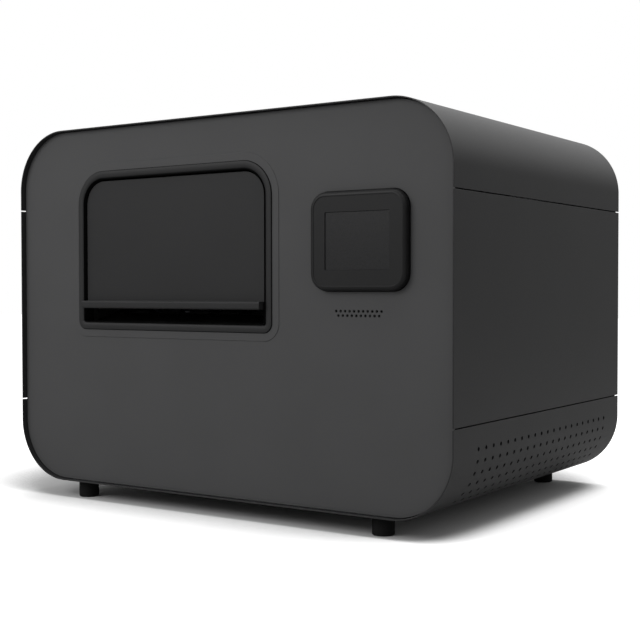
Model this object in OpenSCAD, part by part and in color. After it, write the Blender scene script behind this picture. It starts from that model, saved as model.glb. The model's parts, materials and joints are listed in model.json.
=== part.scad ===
/* [Case] */
// Width of the case across its side skins
case_w = 850; // [830:1:880]
// Depth of the case from front edge to rear edge
case_d = 638; // [630:1:660]
// Height of the case without its feet
case_h = 597; // [590:1:620]
// Outer radius of the four long rolled corners
corner_r = 100; // [90:1:105]
// Thickness of the skin and panel sheet
sheet = 2; // [1.5:0.1:2.5]
// How far the front and rear panels sit back behind the skin's edges
lip = 9; // [9:0.5:11]
// Gap between a panel's rim and the skin round it
panel_gap = 0.8; // [0.5:0.1:1.2]
// Depth of the folded rim of the front and rear panels
rim_d = 20; // [16:1:24]
// Width of the two seams that run from front to back
seam_gap = 3; // [2:0.5:4]
// Depth of the top cover's sides below the top of the case
cover_side = 131.5; // [120:0.5:140]
// Height of the vented skirt's upper edge above the bottom of the case
skirt_h = 133.5; // [125:0.5:145]
// Width of the inward folds on the side panels and skirts
fold_w = 20; // [15:1:24]

/* [Feet] */
// Height of a foot
foot_h = 28.5; // [22:0.5:35]
// Radius of a foot
foot_r = 16.7; // [14:0.1:19]
// Distance of a foot's centre from the side of the case
foot_in = 130; // [125:1:140]
// Distance of a foot's centre from the nearest end of the case
foot_y = 32; // [30:0.5:36]
// Width of the bevel round a foot's lower edge
foot_bevel = 1.5; // [0.5:0.1:2.5]
// Radius of the foot screws
foot_screw_r = 3; // [2.5:0.1:3.5]

/* [Vents] */
// Diameter of a vent hole
vent_d = 5; // [4:0.1:6]
// Distance between vent columns along the case
vent_pitch = 24.55; // [24:0.05:30]
// Distance of the first vent column from the front edge
vent_start = 77; // [74:1:85]
// Least distance of the last vent column from the rear edge
vent_end = 65; // [60:1:68]
// Number of vent rows on each rolled corner
vent_rows = 6; // [3:1:7]
// Angle between vent rows about the corner's centre
vent_step = 10.4; // [9:0.1:11]

/* [Window] */
// Width of the opening inside the window frame
window_w = 378.7; // [370:0.1:385]
// Height of the opening inside the window frame
window_h = 237.6; // [230:0.1:242]
// Sideways place of the window's middle
window_x = -88.65; // [-95:0.05:-80]
// Height of the window's sill above the bottom of the case
window_z = 273; // [270:1:276]
// Radius of the opening's upper corners
window_r = 42; // [36:1:46]
// Radius of the opening's lower corners
sill_r = 2.5; // [1:0.5:4]
// Width of the frame's face
frame_face = 12.6; // [10:0.1:14]
// Radius of the frame's outer lower corners
frame_low_r = 15; // [12:1:18]
// Thickness of the frame's face
frame_t = 2; // [1.5:0.1:2.5]
// Thickness of the frame's collar
collar_t = 3; // [2:0.1:4]
// Depth of the collar behind the front panel's face
collar_d = 31; // [30.6:0.1:34]
// Width of the raised surround outside the frame
surround_w = 12.8; // [10:0.1:14]
// Height of the raised surround
surround_t = 1; // [0.6:0.1:1.4]

/* [Flap] */
// Gap between the flap and the window frame
flap_gap = 3.3; // [3:0.1:4]
// How far the flap's face sits behind the frame's face
flap_back = 5; // [4:0.1:6]
// Thickness of the flap
flap_t = 3; // [2.5:0.1:3.4]
// Height of the open paper slot under the flap
slot_h = 22.4; // [18:0.1:26]
// Height of the grip bar on the flap's lower edge
grip_h = 12.6; // [10:0.1:15]
// How far the grip bar stands out in front of the frame's face
grip_out = 9.6; // [8:0.1:9.8]
// Edge radius of the grip bar
grip_r = 3; // [1:0.1:4]
// Distance of the flap's hinge axis behind its face
flap_axis_back = 8; // [7.9:0.1:8.2]
// Distance of the flap's hinge axis below its upper edge
flap_axis_down = 30; // [29:0.5:31]
// Radius of the flap's shaft
flap_shaft_r = 2.5; // [2:0.1:2.7]
// Width of an ear on the flap's shaft
flap_ear_w = 5; // [4:0.5:7]

/* [Display] */
// Width of the display block
display_w = 162.4; // [155:0.1:168]
// Height of the display block
display_h = 144; // [138:0.1:150]
// Sideways place of the display block's middle
display_x = 270.6; // [262:0.1:275]
// Height of the display block's middle above the bottom of the case
display_z = 396; // [388:1:402]
// How far the display block stands out of the front panel
display_out = 12.5; // [11:0.1:12.6]
// Corner radius of the display block
display_r = 26; // [20:1:32]
// Radius of the rounding round the display block's front edge
display_edge = 7.2; // [5:0.1:8]
// Width of the glass
glass_w = 109; // [104:0.1:114]
// Height of the glass
glass_h = 84; // [80:0.1:88]
// Depth of the glass below the block's face
glass_down = 2.3; // [1.5:0.1:3]
// Thickness of the glass
glass_t = 1.5; // [1:0.1:2]

/* [Speaker] */
// Diameter of a sound hole
sound_d = 3; // [2:0.1:3.6]
// Distance between sound holes in a row
sound_pitch = 7.68; // [7:0.02:8]
// Number of sound holes in the upper row
sound_count = 11; // [7:1:12]
// Distance between the two rows of sound holes
sound_row = 6.5; // [6:0.1:7.5]
// Height of the upper row above the bottom of the case
sound_z = 294.8; // [290:0.1:300]

/* [Chassis] */
// Width of the square tube of posts and rails
tube = 25; // [20:1:28]
// Wall of the square tube
tube_wall = 2; // [1.5:0.1:3]
// Thickness of the base tray
tray_t = 3; // [2:0.1:4]
// Distance of the base tray's edges from the start of the rolled corners
tray_in = 13; // [7:1:14]
// Height of the base tray's folded ends
tray_fold = 26; // [20:1:30]
// Thickness of a corner gusset
gusset_t = 3; // [2:0.5:4]

/* [Cover] */
// Distance of the hinge axis in front of the skin's rear edge
hinge_back = 4.5; // [4.4:0.1:4.7]
// Distance of the hinge axis below the top of the case
hinge_down = 8; // [8:0.1:8.5]
// Radius of a hinge knuckle
knuckle_r = 3.9; // [3.5:0.1:4]
// Radius of a hinge pin
hinge_pin_r = 2; // [1.6:0.1:2.2]
// Length of one hinge along the case
hinge_l = 80; // [70:1:100]
// Distance of a hinge's middle from the middle of the case
hinge_x = 230; // [200:1:260]
// Distance of the front cover channel behind the front edge
channel_front = 191; // [180:1:210]
// Distance of the rear cover channel behind the front edge
channel_rear = 421; // [400:1:440]
// Width of the stiffening rails inside the cover
rail_w = 20; // [16:1:24]
// Thickness of the damping liner
liner_t = 12; // [8:1:16]

/* [Mechanism] */
// Clear width between the two side frames
frame_in = 430; // [424:1:434]
// Thickness of a side frame
plate_t = 6; // [5:0.5:7]
// Height of the paper line above the bottom of the case
paper_z = 300; // [298:1:302]
// Distance of the embossing cylinders behind the front edge
cylinder_y = 290; // [280:1:300]
// Radius of an embossing cylinder
cylinder_r = 44.8; // [44:0.1:44.9]
// Distance between the axes of the embossing cylinders
cylinder_gap = 90; // [90:0.1:92]
// Length of the working face of an embossing cylinder
cylinder_l = 340; // [320:1:360]
// Distance between cell lines on a cylinder
cell_pitch = 8; // [7:0.1:10]
// Radius of a cylinder's journals
journal_r = 10; // [9:0.5:11]
// Outer radius of a cylinder's bearings
bearing_r = 21; // [19:0.5:23]
// Teeth on each cylinder gear
gear_teeth = 36; // [36:4:36]
// Face width of a cylinder gear
gear_w = 12; // [10:1:14]
// Radius of the drive pulley
pulley_r = 35; // [32:1:37]
// Radius of the drive motor's pulley
motor_pulley_r = 15; // [13:1:18]
// Width of a toothed belt
belt_w = 10; // [8:1:12]
// Thickness of a toothed belt
belt_t = 2.5; // [2:0.1:3]
// Width across the drive motor
motor_w = 86; // [80:1:90]
// Length of the drive motor
motor_l = 100; // [85:1:110]
// Radius of the drive motor's shaft
motor_shaft_r = 7; // [6:0.5:8]

/* [Paper feed] */
// Distance of the feed shaft in front of the rear edge
feed_back = 168; // [163:1:173]
// Width of the square feed shaft across its flats
feed_w = 10.8; // [10:0.1:11.2]
// Pins on a pin wheel, half an inch apart
pin_count = 15; // [15:1:15]
// Distance between pins round a wheel
pin_pitch = 12.7; // [12.6:0.01:12.8]
// Length of a pin above its wheel
pin_l = 4; // [3:0.1:4.5]
// Radius of a pin
pin_r = 1.9; // [1.6:0.1:2]
// Distance between the two pin wheels for the widest paper
wheel_span = 318; // [312:0.5:322]
// Width of a pin wheel
wheel_w = 8; // [7:0.5:9]
// Radius of the tractor support rod
rod_r = 6; // [5:0.5:7]
// Distance from the feed shaft to the support rod
rod_back = 55; // [54:1:58]
// Radius of the exit roller
roller_r = 15; // [13:0.5:16]
// Radius of the pinch rollers
pinch_r = 9; // [8:0.5:10]
// Distance of the exit roller behind the front edge
roller_y = 130; // [128:1:134]
// Radius of the feed and exit pulleys
feed_pulley_r = 14; // [13:0.5:16]
// Width across the feed motor
step_w = 57; // [52:1:60]
// Length of the feed motor
step_l = 60; // [50:1:70]

/* [Solenoids] */
// Number of solenoids in a row
solenoid_count = 14; // [10:1:15]
// Distance between solenoids in a row
solenoid_pitch = 22; // [21:0.5:24]
// Radius of a solenoid
solenoid_r = 9; // [8:0.5:10]
// Height of a solenoid
solenoid_h = 26; // [20:1:28]
// Thickness of the solenoid rail
solenoid_rail_t = 12; // [10:1:14]

/* [Rear panel] */
// Width of the fan
fan_w = 120; // [110:1:124]
// Depth of the fan
fan_d = 25; // [20:1:32]
// Sideways place of the fan
fan_x = 262; // [250:1:270]
// Height of the fan's middle above the bottom of the case
fan_z = 330; // [320:1:345]
// Sideways place of the power entry
power_x = 300; // [290:1:320]
// Height of the power entry's middle above the bottom of the case
power_z = 110; // [105:1:120]
// Sideways place of the data sockets
port_x = 205; // [195:1:215]

/* [Electronics] */
// Width of the power supply
supply_w = 115; // [100:1:125]
// Length of the power supply
supply_l = 200; // [180:1:210]
// Height of the power supply
supply_h = 62; // [50:1:70]
// Width of the control board
board_w = 130; // [120:1:140]
// Length of the control board
board_l = 200; // [198:1:210]
// Distance of the control board in front of the rear panel
board_back = 60; // [60:1:66]

/* [Clearances] */
// Radial gap of a shaft that runs in a bore
running = 0.05; // [0.03:0.01:0.08]
// Gap between parts that pass each other closely
pass_gap = 0.3; // [0.3:0.05:0.5]
// Side gap between parts that turn beside each other
side_gap = 0.5; // [0.4:0.1:0.8]

/* [Side frames] */
// Distance of the side frames' base behind the front edge
frame_y0 = 112; // [108:1:116]
// Distance of the side frames' base in front of the rear edge
frame_back = 78; // [72:1:82]
// Distance of the front arms' ends behind the front edge
arm_y0 = 60; // [58:1:64]
// Distance of the rear arms' ends in front of the rear edge
arm_back = 38; // [36:1:42]
// Width of the tower that holds the cylinders
tower_w = 116; // [112:1:124]
// Corner radius of the side frames
frame_r = 12; // [8:1:16]
// Radius of the tie bars
tie_r = 8; // [7:0.5:9]

/* [Hidden] */

skin_grey = [0.13, 0.13, 0.135];
panel_grey = [0.28, 0.28, 0.285];
trim_grey = [0.19, 0.19, 0.195];
black = [0.05, 0.05, 0.05];
steel = [0.62, 0.63, 0.65];
zinc = [0.75, 0.76, 0.78];
dark_steel = [0.35, 0.36, 0.38];
bronze = [0.72, 0.55, 0.3];

// Places along the depth, measured behind the case's front edge
panel_back = lip + sheet;
rim_end = lip + rim_d;
rear_face = case_d - lip;
rear_back = rear_face - sheet;
surround_y = lip - surround_t;
frame_y = surround_y - frame_t;
flap_y = frame_y + flap_back;
grip_y = frame_y - grip_out;
display_y = lip - display_out;
front_out = max(-grip_y, -display_y);
case_y = (front_out - case_d) / 2;
feed_y = case_d - feed_back;
frame_y1 = case_d - frame_back;
arm_y1 = case_d - arm_back;

// Places across the width
skin_in = case_w / 2 - sheet;
rim_x = skin_in - panel_gap;
rim_in = rim_x - sheet;
corner_x = case_w / 2 - corner_r;
tray_x = corner_x - tray_in;
foot_x = case_w / 2 - foot_in;
mech_x = window_x;
left_in = mech_x - frame_in / 2;
right_in = mech_x + frame_in / 2;
left_out = left_in - plate_t;
right_out = right_in + plate_t;

// Heights above the bottom of the case
cover_z = case_h - cover_side;
side_top = cover_z - seam_gap;
side_low = skirt_h + seam_gap;
post_low = side_low + sheet;
post_top = side_top - sheet;
tray_top = sheet + tray_t;
lower_z = paper_z - cylinder_gap / 2;
upper_z = paper_z + cylinder_gap / 2;
wheel_r = pin_pitch * pin_count / (2 * PI);
tip_r = wheel_r + pin_l;
feed_z = paper_z - wheel_r;
rod_y = feed_y + rod_back;
solenoid_clear = 8;
solenoid_z = upper_z + cylinder_r + solenoid_clear;
hinge_y = case_d - hinge_back;
hinge_z = case_h - hinge_down;
collar_end = lip + collar_d;
flap_low = window_z + slot_h;
flap_top = window_z + window_h - flap_gap;
flap_axis_y = flap_y + flap_axis_back;
flap_axis_z = flap_top - flap_axis_down;

// The paper falls a little from the cylinders to the slot
paper_drop = (paper_z - window_z - slot_h / 2) / (cylinder_y - lip);
paper_gap = cylinder_gap - 2 * cylinder_r;
roller_z = paper_z - (cylinder_y - roller_y) * paper_drop - roller_r;
pinch_z = roller_z + roller_r + pinch_r + paper_gap;

// Places of the motors behind their side frame
motor_forward = 40;
motor_y = cylinder_y - motor_forward;
motor_z = 102;
step_back = 10;
step_y = feed_y + step_back;
step_z = 130;
step_shaft_r = 4;

// Bearings and bushes
bearing_flange = 3;
bush_r = 10;
roller_journal = 6;
pinch_journal = 4;
pinch_bush_r = 7;
feed_journal = feed_w / 2;

// Stations along the shafts outside the side frames
gear_x = right_out + bearing_flange + side_gap;
pulley_x = gear_x + gear_w + side_gap;
pulley_w = belt_w + 4;
feed_pulley_x = right_out + bearing_flange + side_gap;
exit_pulley_x = left_out - bearing_flange - side_gap - pulley_w;

// Width of a tractor and the place of its gate hinge, from the wheel's middle plane
cheek_in = wheel_w / 2 + 2;
cheek_out = cheek_in + 3;
wheel_hub_r = 10;
gate_x = cheek_out + 6;
gate_z = paper_z - 4;
gate_pin_r = 2;
gate_lug_r = 4;
tractor_y0 = feed_y - tip_r - 4;
tractor_y1 = rod_y + rod_r + 9;
tractor_z0 = feed_z - tip_r - 10;
lug_w = 8;
lug_y = [tractor_y0 + 9, tractor_y1 - 9 - lug_w];

// Places in the case frame, with the origin under the middle of the object's box
module at_case() {
  translate([0, case_y, foot_h]) children();
}

// A flat shape in width and height, given a thickness t behind depth y0
module front_slab(y0, t) {
  translate([0, y0 + t, 0]) rotate([90, 0, 0]) linear_extrude(t) children();
}

// A flat shape in depth and height, given a width t from x0
module side_slab(x0, t) {
  translate([x0, 0, 0]) rotate([90, 0, 90]) linear_extrude(t) children();
}

// A round bar across the width, along the depth
module x_bar(x0, y, z, r, l) {
  translate([x0, y, z]) rotate([0, 90, 0]) cylinder(r = r, h = l, $fn = 48);
}

module y_bar(x, y0, z, r, l) {
  translate([x, y0, z]) rotate([-90, 0, 0]) cylinder(r = r, h = l, $fn = 48);
}

module rounded(w, h, r) {
  square([w - 2 * r, h], center = true);
  square([w, h - 2 * r], center = true);
  for (x = [-1, 1])
    for (y = [-1, 1])
      translate([x * (w / 2 - r), y * (h / 2 - r)]) circle(r, $fn = 96);
}

module rounded_box(x0, y0, x1, y1, r) {
  translate([(x0 + x1) / 2, (y0 + y1) / 2]) rounded(x1 - x0, y1 - y0, r);
}

// The case's outline, drawn in by a distance d
module case_outline(d) {
  translate([0, case_h / 2]) rounded(case_w - 2 * d, case_h - 2 * d, corner_r - d);
}

module case_ring(outer, inner) {
  difference() {
    case_outline(outer);
    case_outline(inner);
  }
}

// The window's outline, let out by a distance d, with its own radii at top and bottom
module window_outline(d, top_r = window_r, low_r = sill_r) {
  w = window_w + 2 * d;
  h = window_h + 2 * d;
  translate([window_x, window_z - d]) {
    translate([-w / 2, low_r]) square([w, h - low_r - top_r]);
    translate([-w / 2 + low_r, 0]) square([w - 2 * low_r, low_r]);
    translate([-w / 2 + top_r, h - top_r]) square([w - 2 * top_r, top_r]);
    for (s = [-1, 1]) {
      translate([s * (w / 2 - low_r), low_r]) circle(low_r, $fn = 64);
      translate([s * (w / 2 - top_r), h - top_r]) circle(top_r, $fn = 96);
    }
  }
}

// Top cover: the upper part of the skin, open below
module top_cover() {
  color(skin_grey) at_case() front_slab(0, case_d) intersection() {
    case_ring(0, sheet);
    translate([-case_w / 2 - 1, cover_z]) square([case_w + 2, cover_side + 1]);
  }
}

// Stiffening angles along the cover's sides and channels across its top
rail_end = rim_end + 30;
channel_w = 30;
channel_h = 20;
channel_x = corner_x - 10;
module cover_rails() {
  l = case_d - 2 * rail_end;
  color(zinc) at_case() {
    for (s = [0, 1])
      mirror([s, 0, 0]) translate([skin_in - rail_w, rail_end, cover_z + sheet]) {
        cube([rail_w, l, sheet]);
        translate([rail_w - sheet, 0, 0]) cube([sheet, l, rail_w]);
      }
    for (y = [channel_front, channel_rear])
      translate([-channel_x, y, case_h - sheet - channel_h]) difference() {
        cube([2 * channel_x, channel_w, channel_h]);
        translate([-1, sheet, sheet])
          cube([2 * channel_x + 2, channel_w - 2 * sheet, channel_h]);
      }
  }
}

// Damping liner under the cover, one pad before, between and behind the channels
module cover_liner() {
  gap = 6;
  y0 = [rail_end, channel_front + channel_w + gap, channel_rear + channel_w + gap];
  y1 = [channel_front - gap, channel_rear - gap, case_d - rail_end];
  color(black) at_case()
    for (i = [0:2])
      translate([-channel_x, y0[i], case_h - sheet - liner_t])
        cube([2 * channel_x, y1[i] - y0[i], liner_t]);
}

// Knuckles alternate along a hinge: even ones are fixed, odd ones belong to the cover
knuckle_count = 5;
knuckle_l = hinge_l / knuckle_count;
function knuckle_x(s, i) = s * hinge_x - hinge_l / 2 + i * knuckle_l;
module knuckle_bar(s, i, r) {
  x_bar(knuckle_x(s, i) + side_gap / 2, hinge_y, hinge_z, r, knuckle_l - side_gap);
}

module hinge_knuckles() {
  color(dark_steel) at_case()
    for (s = [-1, 1])
      for (i = [1, 3])
        difference() {
          union() {
            knuckle_bar(s, i, knuckle_r);
            translate([knuckle_x(s, i) + side_gap / 2, hinge_y - knuckle_r + 1, hinge_z])
              cube([knuckle_l - side_gap, 2 * knuckle_r - 2, hinge_down - sheet]);
          }
          x_bar(knuckle_x(s, i), hinge_y, hinge_z, hinge_pin_r + running, knuckle_l);
        }
}

leaf_h = 42;
leaf_t = 1.8;
module hinge_leaves() {
  top = hinge_z - knuckle_r - 2;
  color(dark_steel) at_case()
    for (s = [-1, 1])
      difference() {
        union() {
          translate([s * hinge_x - hinge_l / 2, rear_face, top - leaf_h])
            cube([hinge_l, leaf_t, leaf_h]);
          for (i = [0, 2, 4]) {
            knuckle_bar(s, i, knuckle_r);
            translate([knuckle_x(s, i) + side_gap / 2, rear_face, top - 1])
              cube([knuckle_l - side_gap, leaf_t + 1, hinge_z - top + 1]);
          }
        }
        x_bar(s * hinge_x - hinge_l / 2 - 1, hinge_y, hinge_z, hinge_pin_r, hinge_l + 2);
      }
}

module hinge_pins() {
  color(steel) at_case()
    for (s = [-1, 1])
      x_bar(s * hinge_x - hinge_l / 2, hinge_y, hinge_z, hinge_pin_r, hinge_l);
}

// Side panel: a flat sheet with folds that rest on the seam rails
module side_panel() {
  l = case_d - 2 * (rim_end + 2);
  translate([skin_in, 0, side_low]) cube([sheet, case_d, side_top - side_low]);
  for (z = [side_low, side_top - sheet])
    translate([skin_in - fold_w, rim_end + 2, z]) cube([fold_w + sheet, l, sheet]);
}
module side_panel_right() { color(skin_grey) at_case() side_panel(); }
module side_panel_left() { color(skin_grey) at_case() mirror([1, 0, 0]) side_panel(); }

// Vent skirt: the rolled lower corner with its rows of round vents
vent_columns = floor((case_d - vent_start - vent_end) / vent_pitch) + 1;
module vent_skirt() {
  l = case_d - 2 * (rim_end + 2);
  difference() {
    front_slab(0, case_d) {
      intersection() {
        case_ring(0, sheet);
        translate([corner_x, -1]) square([corner_r + 1, corner_r + 1]);
      }
      translate([skin_in, corner_r]) square([sheet, skirt_h - corner_r]);
    }
    for (i = [0:vent_columns - 1])
      for (k = [0:vent_rows - 1])
        translate([corner_x, vent_start + i * vent_pitch, corner_r])
          rotate([0, k * vent_step, 0]) translate([corner_r - sheet - 1, 0, 0])
            rotate([0, 90, 0]) cylinder(d = vent_d, h = sheet + 2, $fn = 24);
  }
  translate([skin_in - fold_w, rim_end + 2, skirt_h - sheet]) cube([fold_w + sheet, l, sheet]);
}
module vent_skirt_right() { color(skin_grey) at_case() vent_skirt(); }
module vent_skirt_left() { color(skin_grey) at_case() mirror([1, 0, 0]) vent_skirt(); }

module foot_places() {
  for (x = [-foot_x, foot_x])
    for (y = [foot_y, case_d - foot_y])
      translate([x, y, 0]) children();
}

module floor_sheet() {
  color(skin_grey) at_case() difference() {
    translate([-corner_x, 0, 0]) cube([2 * corner_x, case_d, sheet]);
    foot_places() translate([0, 0, -1]) cylinder(r = foot_screw_r + pass_gap, h = sheet + 2, $fn = 32);
  }
}

// A panel with a folded rim, which stops short of the base tray at the bottom
module panel_rim(y0) {
  front_slab(y0, rim_d) difference() {
    case_ring(sheet + panel_gap, 2 * sheet + panel_gap);
    translate([-tray_x - 2, 0]) square([2 * tray_x + 4, corner_r / 2]);
  }
}

// Front panel: window and display openings, sound holes, raised surround
display_hole_w = glass_w + 22;
display_hole_h = glass_h + 22;
sound_x = display_x - 3.5;
module front_panel() {
  color(panel_grey) at_case() difference() {
    union() {
      front_slab(lip, sheet) case_outline(sheet + panel_gap);
      panel_rim(lip);
      front_slab(surround_y, surround_t)
        window_outline(frame_face + surround_w, window_r + frame_face + surround_w,
          frame_low_r + surround_w);
    }
    front_slab(surround_y - 1, surround_t + sheet + 2)
      window_outline(collar_t + side_gap, window_r + collar_t, sill_r + collar_t);
    front_slab(lip - 1, sheet + 2) {
      translate([display_x, display_z]) square([display_hole_w, display_hole_h], center = true);
      for (row = [0, 1])
        for (i = [0:sound_count - 1 - row])
          translate([sound_x + (i + row / 2 - (sound_count - 1) / 2) * sound_pitch,
            sound_z - row * sound_row]) circle(d = sound_d, $fn = 24);
    }
  }
}

// Rear panel: openings for the paper inlet and the socket plate, and the fan grille
inlet_w = 352;
inlet_low = 9;
inlet_high = 15;
inlet_lip_h = 24;
inlet_lap = 6;
entry_w = 78;
entry_h = 28;
port_w = 54;
port_h = 20;
socket_plate_w = power_x + entry_w / 2 - port_x + port_w / 2 + 20;
socket_plate_h = entry_h + 36;
socket_plate_x = (power_x + entry_w / 2 + port_x - port_w / 2) / 2;
grille_rings = 5;
module fan_grille() {
  r = fan_w / 2 - 4;
  step = (r - 12) / grille_rings;
  difference() {
    for (i = [0:grille_rings - 1])
      difference() {
        circle(12 + (i + 1) * step - 2, $fn = 96);
        circle(12 + i * step, $fn = 96);
      }
    for (a = [45, 135]) rotate(a) square([2 * r, 5], center = true);
  }
}
module rear_panel() {
  color(skin_grey) at_case() difference() {
    union() {
      front_slab(rear_back, sheet) case_outline(sheet + panel_gap);
      panel_rim(rear_face - rim_d);
    }
    front_slab(rear_back - 1, sheet + 2) {
      rounded_box(mech_x - inlet_w / 2, paper_z - inlet_low - inlet_lip_h, mech_x + inlet_w / 2,
        paper_z + inlet_high + inlet_lip_h, 4);
      translate([fan_x, fan_z]) fan_grille();
      translate([socket_plate_x, power_z]) rounded(socket_plate_w, socket_plate_h, 4);
    }
  }
}

// Rubber feet, each held by a screw from inside the base tray
foot_screw_l = 14;
module rubber_feet() {
  color(black) at_case() foot_places() difference() {
    translate([0, 0, -foot_h]) rotate_extrude($fn = 96)
      polygon([[0, 0], [foot_r - foot_bevel, 0], [foot_r, foot_bevel], [foot_r, foot_h], [0, foot_h]]);
    translate([0, 0, -foot_screw_l]) cylinder(r = foot_screw_r, h = foot_screw_l + 1, $fn = 32);
  }
}
module foot_screws() {
  color(zinc) at_case() foot_places() {
    translate([0, 0, -foot_screw_l]) cylinder(r = foot_screw_r, h = foot_screw_l + tray_top, $fn = 32);
    translate([0, 0, tray_top]) difference() {
      cylinder(r = 2 * foot_screw_r, h = foot_screw_r, $fn = 48);
      translate([0, 0, foot_screw_r / 2]) cylinder(r = foot_screw_r, h = foot_screw_r, $fn = 6);
    }
  }
}

// Base tray with folded ends that carry the front and rear panels
module base_tray() {
  l = rear_back - panel_back;
  color(zinc) at_case() difference() {
    union() {
      translate([-tray_x, panel_back, sheet]) cube([2 * tray_x, l, tray_t]);
      for (y = [panel_back, rear_back - tray_t])
        translate([-tray_x, y, sheet]) cube([2 * tray_x, tray_t, tray_fold]);
    }
    foot_places() translate([0, 0, sheet - 1]) cylinder(r = foot_screw_r + pass_gap, h = tray_t + 2, $fn = 32);
  }
}

// Square tube along the height or along the depth
module tube_section() {
  difference() {
    square([tube, tube]);
    translate([tube_wall, tube_wall]) square([tube - 2 * tube_wall, tube - 2 * tube_wall]);
  }
}
module corner_posts() {
  color(dark_steel) at_case()
    for (s = [0, 1])
      for (y = [panel_back, rear_back - tube])
        mirror([s, 0, 0]) translate([rim_in - tube, y, post_low])
          linear_extrude(post_top - post_low) tube_section();
}
module seam_rails() {
  color(dark_steel) at_case()
    for (s = [0, 1])
      for (z = [post_low, post_top - tube])
        mirror([s, 0, 0]) translate([rim_in - tube, 0, z])
          front_slab(panel_back + tube, rear_back - panel_back - 2 * tube) tube_section();
}

// Gussets that carry the seam rails from the base tray, cut to the rolled corner
gusset_y = 64;
gusset_x = tray_x - 26;
gusset_arm = 18;
module corner_gussets() {
  arm_x = skin_in - fold_w - 1;
  color(dark_steel) at_case()
    for (s = [0, 1])
      for (y = [gusset_y, case_d - gusset_y - gusset_t])
        mirror([s, 0, 0]) front_slab(y, gusset_t) difference() {
          intersection() {
            case_outline(sheet + pass_gap);
            union() {
              translate([gusset_x, tray_top]) square([case_w, skirt_h - sheet - 2 - tray_top]);
              translate([arm_x - gusset_arm, tray_top]) square([gusset_arm, post_low - tray_top]);
            }
          }
          translate([arm_x - gusset_arm - case_w, corner_r * 0.8]) square([case_w, case_h]);
          translate([corner_x + 22, 56]) circle(22, $fn = 64);
        }
}

// Window frame: a flat face round the opening and a collar with bosses for the flap's shaft
boss_r = 6;
boss_l = 4;
shaft_reach = window_w / 2 + collar_t + boss_l;
module window_frame() {
  color(trim_grey) at_case() {
    front_slab(frame_y, frame_t) difference() {
      window_outline(frame_face, window_r + frame_face, frame_low_r);
      window_outline(0);
    }
    difference() {
      union() {
        front_slab(surround_y, collar_end - surround_y) difference() {
          window_outline(collar_t, window_r + collar_t, sill_r + collar_t);
          window_outline(0);
        }
        for (x = [-shaft_reach, window_w / 2])
          x_bar(window_x + x, flap_axis_y, flap_axis_z, boss_r, collar_t + boss_l);
      }
      x_bar(window_x - shaft_reach - 1, flap_axis_y, flap_axis_z, flap_shaft_r + running,
        2 * shaft_reach + 2);
    }
  }
}

// Flap: a plate with round upper corners, a grip bar below and ears on the shaft
flap_w = window_w - 2 * flap_gap;
ear_r = 4.5;
ear_x = flap_w / 2 - 10;
module grip_profile() {
  back = flap_y + flap_t;
  translate([grip_y + grip_r, flap_low]) square([back - grip_y - grip_r, grip_h]);
  translate([grip_y, flap_low + grip_r]) square([grip_r, grip_h - 2 * grip_r]);
  for (z = [grip_r, grip_h - grip_r])
    translate([grip_y + grip_r, flap_low + z]) circle(grip_r, $fn = 48);
}
module window_flap() {
  r = window_r - flap_gap;
  color(trim_grey) at_case() difference() {
    union() {
      front_slab(flap_y, flap_t) translate([window_x, 0]) {
        translate([-flap_w / 2, flap_low + grip_h / 2])
          square([flap_w, flap_top - r - flap_low - grip_h / 2]);
        translate([-flap_w / 2 + r, flap_top - r]) square([flap_w - 2 * r, r]);
        for (s = [-1, 1])
          translate([s * (flap_w / 2 - r), flap_top - r]) circle(r, $fn = 96);
      }
      side_slab(window_x - flap_w / 2, flap_w) grip_profile();
      for (x = [-ear_x, -ear_x / 3, ear_x / 3, ear_x])
        translate([window_x + x - flap_ear_w / 2, 0, 0]) {
          translate([0, flap_y + flap_t - 1, flap_axis_z - ear_r])
            cube([flap_ear_w, flap_axis_back - flap_t + 1, 2 * ear_r]);
          x_bar(0, flap_axis_y, flap_axis_z, ear_r, flap_ear_w);
        }
    }
    x_bar(window_x - flap_w / 2, flap_axis_y, flap_axis_z, flap_shaft_r, flap_w);
  }
}
module flap_shaft() {
  l = 2 * (shaft_reach - side_gap);
  color(steel) at_case() x_bar(window_x - l / 2, flap_axis_y, flap_axis_z, flap_shaft_r, l);
}

// Exit chute: a bent sheet from the exit roller down to the sill
chute_t = 1.5;
module exit_chute() {
  y0 = collar_end + 1;
  y1 = roller_y - roller_r - 3;
  z0 = window_z - chute_t;
  z1 = roller_z + roller_r / 2;
  color(black) at_case() side_slab(left_in, frame_in) {
    polygon([[y0, z0], [y1, z1], [y1, z1 + chute_t], [y0, z0 + chute_t]]);
    translate([arm_y0 + 5, z0 - 10])
      square([chute_t, (arm_y0 + 5 - y0) / (y1 - y0) * (z1 - z0) + 10 + chute_t * 0.7]);
  }
}

// Display block: a rounded block with a rounded front edge and a sunk glass
module edge_profile(r, t, f) {
  square([r, t - f]);
  square([r - f, t]);
  intersection() {
    translate([r - f, t - f]) circle(f, $fn = 64);
    square([r, t]);
  }
}
module soft_block(w, h, r, t, f) {
  translate([-w / 2 + r, -h / 2 + r, 0]) cube([w - 2 * r, h - 2 * r, t]);
  for (a = [0, 180])
    rotate([0, 0, a]) translate([w / 2 - r, h / 2 - r, 0])
      rotate([90, 0, 0]) linear_extrude(h - 2 * r) edge_profile(r, t, f);
  for (a = [90, 270])
    rotate([0, 0, a]) translate([h / 2 - r, w / 2 - r, 0])
      rotate([90, 0, 0]) linear_extrude(w - 2 * r) edge_profile(r, t, f);
  for (c = [[1, 1, 0], [1, -1, -90], [-1, 1, 90], [-1, -1, 180]])
    translate([c[0] * (w / 2 - r), c[1] * (h / 2 - r), 0])
      rotate([0, 0, c[2]]) rotate_extrude(angle = 90, $fn = 96) edge_profile(r, t, f);
}
display_floor = 2;
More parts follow.
